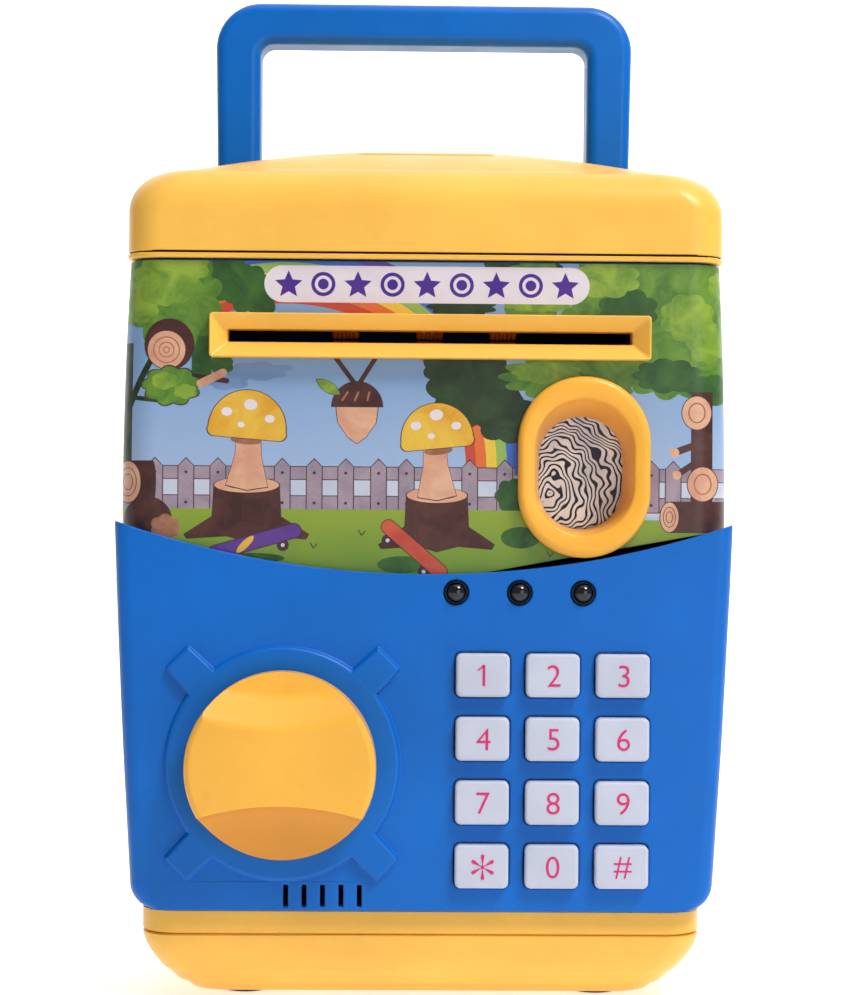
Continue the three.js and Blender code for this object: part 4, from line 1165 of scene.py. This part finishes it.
def disc(x, z, across, up=None, steps=30):
    up = up or across
    return [(x + across * a, z + up * b) for a, b in circle(0, 0, 1, steps)]


def leafy(x, z, across, up, lobes, turn=0.0):
    """An oval whose edge is a row of round lobes."""
    points = []
    for step in range(lobes * 7):
        angle = 2 * math.pi * step / (lobes * 7)
        reach = 1 - LOBE_DEPTH + LOBE_DEPTH * abs(math.sin(lobes * angle / 2 + turn))
        points.append((x + across * reach * math.cos(angle), z + up * reach * math.sin(angle)))
    return points


def strip(x0, z0, x1, z1, half, steps=8):
    """A straight stroke with round ends."""
    heading = math.degrees(math.atan2(z1 - z0, x1 - x0))
    ends = arc(x1, z1, half, heading - 90, heading + 90, steps)
    return ends + arc(x0, z0, half, heading + 90, heading + 270, steps)


def rect(x0, z0, x1, z1):
    return [(x0, z0), (x1, z0), (x1, z1), (x0, z1)]


def star(x, z, radius):
    points = []
    for step in range(10):
        reach = radius if step % 2 == 0 else radius * 0.46
        angle = math.pi / 2 + math.pi * step / 5
        points.append((x + reach * math.cos(angle), z + reach * math.sin(angle)))
    return points


def picket(x, bottom, grow=0.0):
    wide, shoulder = PICKET_HALF + grow, PICKET_TOP - 1.6
    tip = (x, PICKET_TOP + grow * 1.5)
    return [(x - wide, bottom), (x + wide, bottom), (x + wide, shoulder), tip, (x - wide, shoulder)]


class Picture:
    """The label's shapes in the order they are laid, each with the index of its material."""

    def __init__(self):
        self.materials = []
        self.shapes = []

    def lay(self, material, *outlines):
        if material not in self.materials:
            self.materials.append(material)
        for outline in outlines:
            self.shapes.append((self.materials.index(material), [(along(x), z + ART_Z) for x, z in outline]))

    def cut(self, outline):
        self.shapes.append((None, outline))


def draw_background(picture):
    picture.lay(sky, rect(-SIDE, 90, SIDE, 163))
    x, z, across, up = RAINBOW
    for band, colour in reversed(list(enumerate(BAND_COLOURS))):
        colour = linear(*colour)
        band_ink = printed(f"print_rainbow_{band}", colour, shade(colour, 1.15))
        grow = RAINBOW_STEP * (band + 1)
        picture.lay(band_ink, disc(x, z, across + grow, up + grow, steps=90))
    picture.lay(sky, disc(x, z, across, up, steps=90))
    picture.lay(cloud, leafy(-37.5, 136.8, 7, 2.2, 7), leafy(-44, 134.5, 5, 2, 5), disc(-31, 137.6, 1.6, 0.7))


TREES_BEHIND = (  # ink, then each clump as x, z, half width, half height and number of lobes
    (leaf_dark, (11, 133.5, 11, 9, 9), (18, 127, 7.5, 6, 7), (5, 138, 6, 4, 6)),
    (leaf_dark, (8, 151.5, 8, 2.4, 9), (21, 159, 10, 5, 9)),
    (bush, (-39.5, 155, 6, 5.6, 8), (-44, 157.5, 6, 5.5, 8), (-36.6, 152, 3.4, 3.4, 6)),
)
TREES_LEFT = (
    (leaf_mid, (-56, 153, 11, 12, 13), (-66, 157, 7, 10, 9)),
    (leaf_light, (-58, 157, 8, 6, 10), (-53, 160, 5, 4, 7), (-64, 151, 5, 4, 7)),
    (leaf_mid, (33, 136, 17, 5.5, 13), (52, 150, 22, 14, 15), (55, 140, 14, 9, 13)),
)
TREES_RIGHT = (
    (leaf_mid, (24, 155, 8, 8, 9), (66, 140, 8, 8, 9)),
    (bush, (45, 151, 7, 5, 8), (54, 136.5, 8, 4, 9), (64, 133.5, 6, 3.6, 7)),
    (leaf_light, (40, 158, 8, 4.5, 8), (58.5, 149.5, 6.5, 5.5, 8), (63, 144, 5, 5, 7)),
    (leaf_light, (25, 152, 8, 1.6, 10), (27, 137, 8, 2.6, 9), (66, 157, 3, 3, 6)),
)


def draw_clumps(picture, table):
    for fill, *clumps in table:
        picture.lay(fill, *(leafy(*clump) for clump in clumps))


def draw_trees(picture):
    draw_clumps(picture, TREES_BEHIND)
    picture.lay(bush, rect(-53.5, 135.5, -47.6, 152), leafy(-45.5, 138.2, 3, 2.2, 5))
    picture.lay(sky, rect(-SIDE, 105, -52, 150))
    draw_clumps(picture, TREES_LEFT)
    picture.lay(leaf_mid, rect(34, 148, 72, 163))
    draw_clumps(picture, TREES_RIGHT)


def draw_fence(picture):
    picture.lay(fence_gap, rect(-SIDE, 105, SIDE, 114))
    for low, high in ((112.9, 115.6), (106.2, 109.1)):
        for ink_here, line in ((outline_ink, 0.2), (fence_wood, 0)):
            bottom, top = low - line, high + line
            picture.lay(ink_here, rect(-SIDE, bottom, 20, top), rect(48, bottom, SIDE, top))
    for x in (-60, -53.1, -46, -38.6, -31.7, -24.6, -17.6, -10.3, -4.1, 3, 10, 17.8, 50.5, 55.4, 62):
        picture.lay(outline_ink, picket(x, 105.8, 0.22))
        picture.lay(fence_wood, picket(x, 106))
        picture.lay(outline_ink, disc(x, 114.3, 0.35, steps=8), disc(x, 107.6, 0.35, steps=8))
    picture.lay(bush, leafy(19.5, 109.5, 4, 4, 7))


def draw_ground(picture):
    picture.lay(grass, rect(-SIDE, 88, 26, 106.2), rect(24, 88, SIDE, 104.3))
    picture.lay(bush, disc(21.4, 100.2, 4.4, 2.4), disc(-5, 94, 5.5, 1.9), disc(-38, 95.3, 7, 1.1))
    for x, z in ((-24.7, 97.6), (28, 96), (-14, 100.5), (44, 97.5)):
        blades = (x - 0.7, z + 1.1), (x + 0.8, z + 0.9)
        picture.lay(outline_ink, *(strip(x, z, *tip, 0.13, 3) for tip in blades))


def draw_log(picture, x0, x1, z, half):
    """A felled log that lies along X, with its pale cut end on the left."""
    picture.lay(outline_ink, rect(x0, z - half - 0.2, x1, z + half + 0.2), disc(x1, z, 0.8, half + 0.2))
    picture.lay(bark, rect(x0, z - half, x1, z + half))
    picture.lay(outline_ink, disc(x0, z, half * 0.62 + 0.2, half + 0.2))
    picture.lay(cut_wood, disc(x0, z, half * 0.62, half))
    for share in (0.7, 0.4):
        picture.lay(outline_ink, disc(x0, z, half * 0.62 * share, half * share))
        picture.lay(cut_wood, disc(x0, z, half * 0.62 * share - 0.16, half * share - 0.16))


def outlined(picture, fill, outline, line=0.2):
    """Lays a shape over a slightly larger dark one."""
    x = sum(point[0] for point in outline) / len(outline)
    z = sum(point[1] for point in outline) / len(outline)
    reach = max(math.hypot(a - x, b - z) for a, b in outline)
    grow = 1 + line / reach * 1.4
    picture.lay(outline_ink, [(x + (a - x) * grow, z + (b - z) * grow) for a, b in outline])
    picture.lay(fill, outline)


def draw_mushroom(picture, x, z, wide, tilt):
    """A yellow toadstool that grows from a stump with spreading roots."""
    half, top, foot = wide * 0.42, z - 14.5, z - 26.5
    roots = [(-1.05, 5), (-1.9, 1), (-1.8, 0), (-0.6, 0.6), (0, -0.6)]
    roots += [(0.7, 0.6), (1.8, 0), (1.9, 1.2), (1.05, 5)]
    stump = [(x + half * share, foot + rise) for share, rise in roots]
    outlined(picture, bark, [(x - half, top), *stump, (x + half, top)])
    for share in (-0.6, -0.1, 0.5):
        picture.lay(outline_ink, strip(x + half * share, top - 3, x + half * share * 1.1, foot + 3, 0.12, 3))
    outlined(picture, cut_wood, disc(x, top, half, 1.7))
    outlined(picture, bark, disc(x, top, half * 0.6, 0.9), 0.1)
    stem = [(x - wide * 0.15, z - 2), (x - wide * 0.17, z - 8), (x - wide * 0.27, top - 0.2), (x, top - 1.1),
            (x + wide * 0.27, top - 0.2), (x + wide * 0.17, z - 8), (x + wide * 0.15, z - 2)]
    outlined(picture, cut_wood, turn_about(stem, x, top, tilt * 0.5))
    picture.lay(stone, turn_about(disc(x, z - 4.6, wide * 0.2, 0.9), x, z - 2, tilt))
    cap = arc(x, z - 2, wide / 2, 0, 180, 24) + arc(x - wide * 0.42, z - 2.6, wide * 0.09, 180, 270, 5)
    cap += arc(x + wide * 0.42, z - 2.6, wide * 0.09, 270, 360, 5)
    outlined(picture, mushroom_yellow, turn_about(cap, x, z - 2, tilt))
    for place, height, size in ((-0.28, 1.4, 1.2), (0.02, 3.4, 1.5), (0.28, 0.6, 1.1), (-0.08, -1.2, 0.8)):
        spot = disc(x + wide * place, z + height, size, size * 0.8)
        picture.lay(pill_white, turn_about(spot, x, z - 2, tilt))


def turn_about(points, x, z, angle):
    c, s = math.cos(angle), math.sin(angle)
    return [(x + (a - x) * c - (b - z) * s, z + (a - x) * s + (b - z) * c) for a, b in points]


def draw_skateboard(picture, deck, x0, z0, x1, z1, stripe):
    heading = math.atan2(z1 - z0, x1 - x0)
    down = (math.sin(heading), -math.cos(heading))
    for share in (0.12, 0.82):
        x = x0 + (x1 - x0) * share + down[0] * 2.4
        z = z0 + (z1 - z0) * share + down[1] * 2.4
        picture.lay(outline_ink, disc(x, z, 1.35))
        picture.lay(fence_gap, disc(x, z, 0.45, steps=12))
    picture.lay(outline_ink, strip(x0, z0, x1, z1, 1.75))
    picture.lay(deck, strip(x0, z0, x1, z1, 1.55))
    if stripe:
        centre = (x0 * 0.62 + x1 * 0.38, z0 * 0.62 + z1 * 0.38)
        picture.lay(mushroom_yellow, turn_about(disc(centre[0], centre[1], 2.6, 0.8), *centre, heading + 0.5))


def draw_acorn(picture, x, z):
    """An acorn that hangs from a twig, with a leaf beside it."""
    for end in ((x - 6, z + 12), (x + 5, z + 12)):
        outlined(picture, bark, strip(*end, x, z + 4, 0.5))
    nut = [(x - 4.7, z), (x - 4.2, z - 4), (x - 2, z - 7.2), (x, z - 8.6), (x + 2, z - 7.2), (x + 4.2, z - 4),
           (x + 4.7, z)]
    outlined(picture, cut_wood, nut)
    hat = arc(x, z - 0.4, 5.6, 0, 180, 18)
    outlined(picture, bark, hat + hat[-1:] * 2)  # the repeated point shifts the dark line a little left
    for step in (-2, 0, 2):
        picture.lay(stone, strip(x + step * 1.4 - 0.5, z + 1, x + step * 1.2 + 0.3, z + 2.8, 0.22, 3))
    leaf = arc(x - 8.2, z + 1, 4.6, 20, 100, 8) + arc(x - 4.6, z + 6.8, 4.6, 200, 280, 8)
    outlined(picture, leaf_light, leaf)


def draw_details(picture):
    # The left-hand trunk, its cut branch and the leaves round it.
    picture.lay(leaf_dark, rect(-SIDE, 112, -65.2, 143))
    picture.lay(leaf_dark, strip(-66, 128, -60, 141, 0.6), strip(-66, 131, -58, 130, 0.5))
    picture.lay(outline_ink, disc(-57, 142.6, 5.6, 5.8))
    picture.lay(bark, disc(-57, 142.6, 5.4, 5.6))
    picture.lay(cut_wood, disc(-57.6, 141.4, 4.2, 4.2))
    for radius in (3, 1.8, 0.8):
        picture.lay(stone, disc(-57.6, 141.4, radius))
        picture.lay(cut_wood, disc(-57.6, 141.4, radius - 0.3))
    picture.lay(outline_ink, leafy(-56.5, 133.4, 6.9, 4.7, 9, turn=0.4), strip(-54, 136, -44.2, 134.6, 0.6))
    picture.lay(leaf_mid, leafy(-56.5, 133.4, 6.6, 4.4, 9, turn=0.4))
    picture.lay(leaf_light, leafy(-58, 134.5, 3, 2, 6), leafy(-53.4, 132.2, 2.6, 1.7, 6))
    picture.lay(cut_wood, strip(-50, 134, -45, 136.4, 0.9))
    # The middle of the scene, with the stumps and logs at its left edge.
    draw_acorn(picture, -15.2, 129.5)
    draw_mushroom(picture, -39.6, 126, 17.2, -0.08)
    draw_skateboard(picture, board_violet, -46.5, 96.4, -29, 101.4, True)
    draw_mushroom(picture, 2.7, 124, 16, 0.1)
    draw_skateboard(picture, board_red, -8, 102.4, 3.5, 92.5, False)
    draw_log(picture, -66, -60.5, 112, 4.6)
    picture.lay(outline_ink, disc(-61.5, 103.6, 5.4, 5.2))
    picture.lay(bark, disc(-61.5, 103.6, 5.2, 5))
    picture.lay(stone, leafy(-57.6, 102, 3.4, 3, 6))
    # The right-hand trunk, with cut branches, and the log at its foot.
    picture.lay(outline_ink, rect(59.3, 105, 64.2, 133))
    picture.lay(bark, rect(59.5, 105, 64, 133))
    for x, z, size in ((60.6, 128.3, 3.3), (62, 112.4, 3.4)):
        picture.lay(outline_ink, disc(x, z, size + 0.2, size + 0.6))
        picture.lay(cut_wood, disc(x, z, size, size + 0.4))
        picture.lay(stone, disc(x, z, size * 0.6, size * 0.7))
        picture.lay(cut_wood, disc(x, z, size * 0.6 - 0.3, size * 0.7 - 0.3))
    picture.lay(bark, strip(60, 121, 55.6, 119.4, 0.8), strip(60, 117, 56.2, 114.4, 0.7))
    picture.lay(cut_wood, disc(55.6, 119.4, 1.1), disc(56.2, 114.4, 1))
    draw_log(picture, 54.6, 68, 105, 3.3)


def draw_pill(picture):
    picture.lay(pill_white, rounded(0.2, 156.3, 36.2, 4.1, 4.05))
    for index, x in enumerate(spread(-30.6, 31, 8)):
        if index % 2 == 0:
            picture.lay(violet_ink, star(x, 156.1, 3.2))
        else:
            picture.lay(violet_ink, disc(x, 156.3, 2.7))
            picture.lay(pill_white, disc(x, 156.3, 1.9))
            picture.lay(violet_ink, disc(x, 156.3, 1.2))


def make_label():
    low, high = span("scenery_label")
    picture = Picture()
    for draw in (draw_background, draw_trees, draw_fence, draw_ground, draw_details, draw_pill):
        draw(picture)
    slot, ring = middle("slot_bezel"), middle("fingerprint_bezel")
    picture.cut(rounded(slot.x, slot.z, *SLOT_CUT))
    picture.cut(rounded(ring.x, ring.z, *RING_CUT))
    piece = wrap_label(picture, low, high)
    finish_piece(smooth(piece, 30), "case", "scenery_label")


def wrap_label(picture, low, high):
    edge = FLAT + CORNER_RUN + high.y - low.y - CASE_CORNER
    sheet = [(-edge, low.z), (edge, low.z), (edge, high.z), (-edge, high.z)]
    points, faces = list(sheet), [[0, 1, 2, 3]]
    for _, outline in picture.shapes:
        first = len(points)
        points += [(min(edge + 1, max(-edge - 1, u)), z) for u, z in outline]
        faces.append(list(range(first, len(points))))
    lines = []
    bends = [FLAT + step for step in spread(-1, CORNER_RUN, ACROSS_BENDS)]
    for u in [-bend for bend in bends] + bends:
        points += [(u, low.z), (u, high.z)]
        lines.append((len(points) - 2, len(points) - 1))
    for z in spread(low.z, high.z, 10)[1:-1]:
        points += [(-edge, z), (edge, z)]
        lines.append((len(points) - 2, len(points) - 1))
    flat = [Vector(point) for point in points]
    places, _, cells, _, _, owners = delaunay_2d_cdt(flat, lines, faces, 0, 1e-4, True)
    kept = []  # each cell, with the number of its ink
    for cell, owner in zip(cells, owners):
        if 0 in owner and len(owner) > 1:
            top = picture.shapes[max(owner) - 1][0]
            if top is not None:
                kept.append((cell, top))
    return thicken("label_print", places, kept, picture.materials, low.y)


def thicken(name, places, kept, materials, front):
    """Wraps the flat faces round the case and closes them with a back and a rim."""
    count = len(places)
    vertices = [wrapped(p.x, p.y, front, depth) for depth in (0, SHEET) for p in places]
    faces, inks, edges = [], [], {}
    for cell, index in kept:
        faces.append(tuple(cell))
        inks.append(index)
        faces.append(tuple(count + corner for corner in reversed(cell)))
        inks.append(len(materials))
        for start, end in zip(cell, cell[1:] + cell[:1]):
            edges[(start, end)] = True
    for start, end in edges:
        if (end, start) not in edges:
            faces.append((end, start, count + start, count + end))
            inks.append(len(materials))
    piece = new_mesh(name, vertices, faces, [*materials, pill_white])
    piece.data.polygons.foreach_set("material_index", inks)
    edit(piece, drop_loose)
    return piece


def drop_loose(work):
    bmesh.ops.delete(work, geom=[v for v in work.verts if not v.link_faces], context="VERTS")


def finish_plain_nodes():
    """Carried-over CAD nodes take a finish of their own."""
    finishes = (
        (blue_plastic, "upper_front_shell"),
        (yellow_plastic, "battery_cover"),
        (grey_plastic, "inner_floor", "door_liner", "battery_holder"),
        (grey_plastic, "handle_guide_left", "handle_guide_right"),
        (feeder_plastic, "feeder_bracket"),
        (gear_plastic, "roller_gear", "motor_pinion"),
        (membrane_rubber, "keypad_membrane"),
        (speaker_paper, "speaker"),
        (circuit_board, "keypad_board", "fingerprint_switch_board"),
        (steel, "latch_cam", "latch_striker", "knob_spindle"),
        (motor_can, "feed_motor", "lock_solenoid"),
    )
    for material, *names in finishes:
        for name in names:
            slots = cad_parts[name].data.materials
            slots.clear()
            slots.append(material)


make_camera()
make_lights()
make_stage()
make_cap()
make_base()
make_rear_shell()
make_door()
make_knob()
for key_name in KEY_NAMES:
    make_key(key_name)
make_slot_bezel()
make_fingerprint_bezel()
make_fingerprint_pad()
make_label()
make_handle()
make_roller("drive_roller", "drive_shaft")
make_roller("pinch_roller", "pinch_shaft")
for number in (1, 2, 3):
    make_lamp(number)
    make_battery(number)
for number in (1, 2, 3, 4):
    make_foot(number)
    make_screw(f"case_screw_{number}", 1.5, 2.7)
make_screw("battery_cover_screw", 1.2, 2.4)
make_pin("hinge_pin_upper")
make_pin("hinge_pin_lower")
finish_plain_nodes()
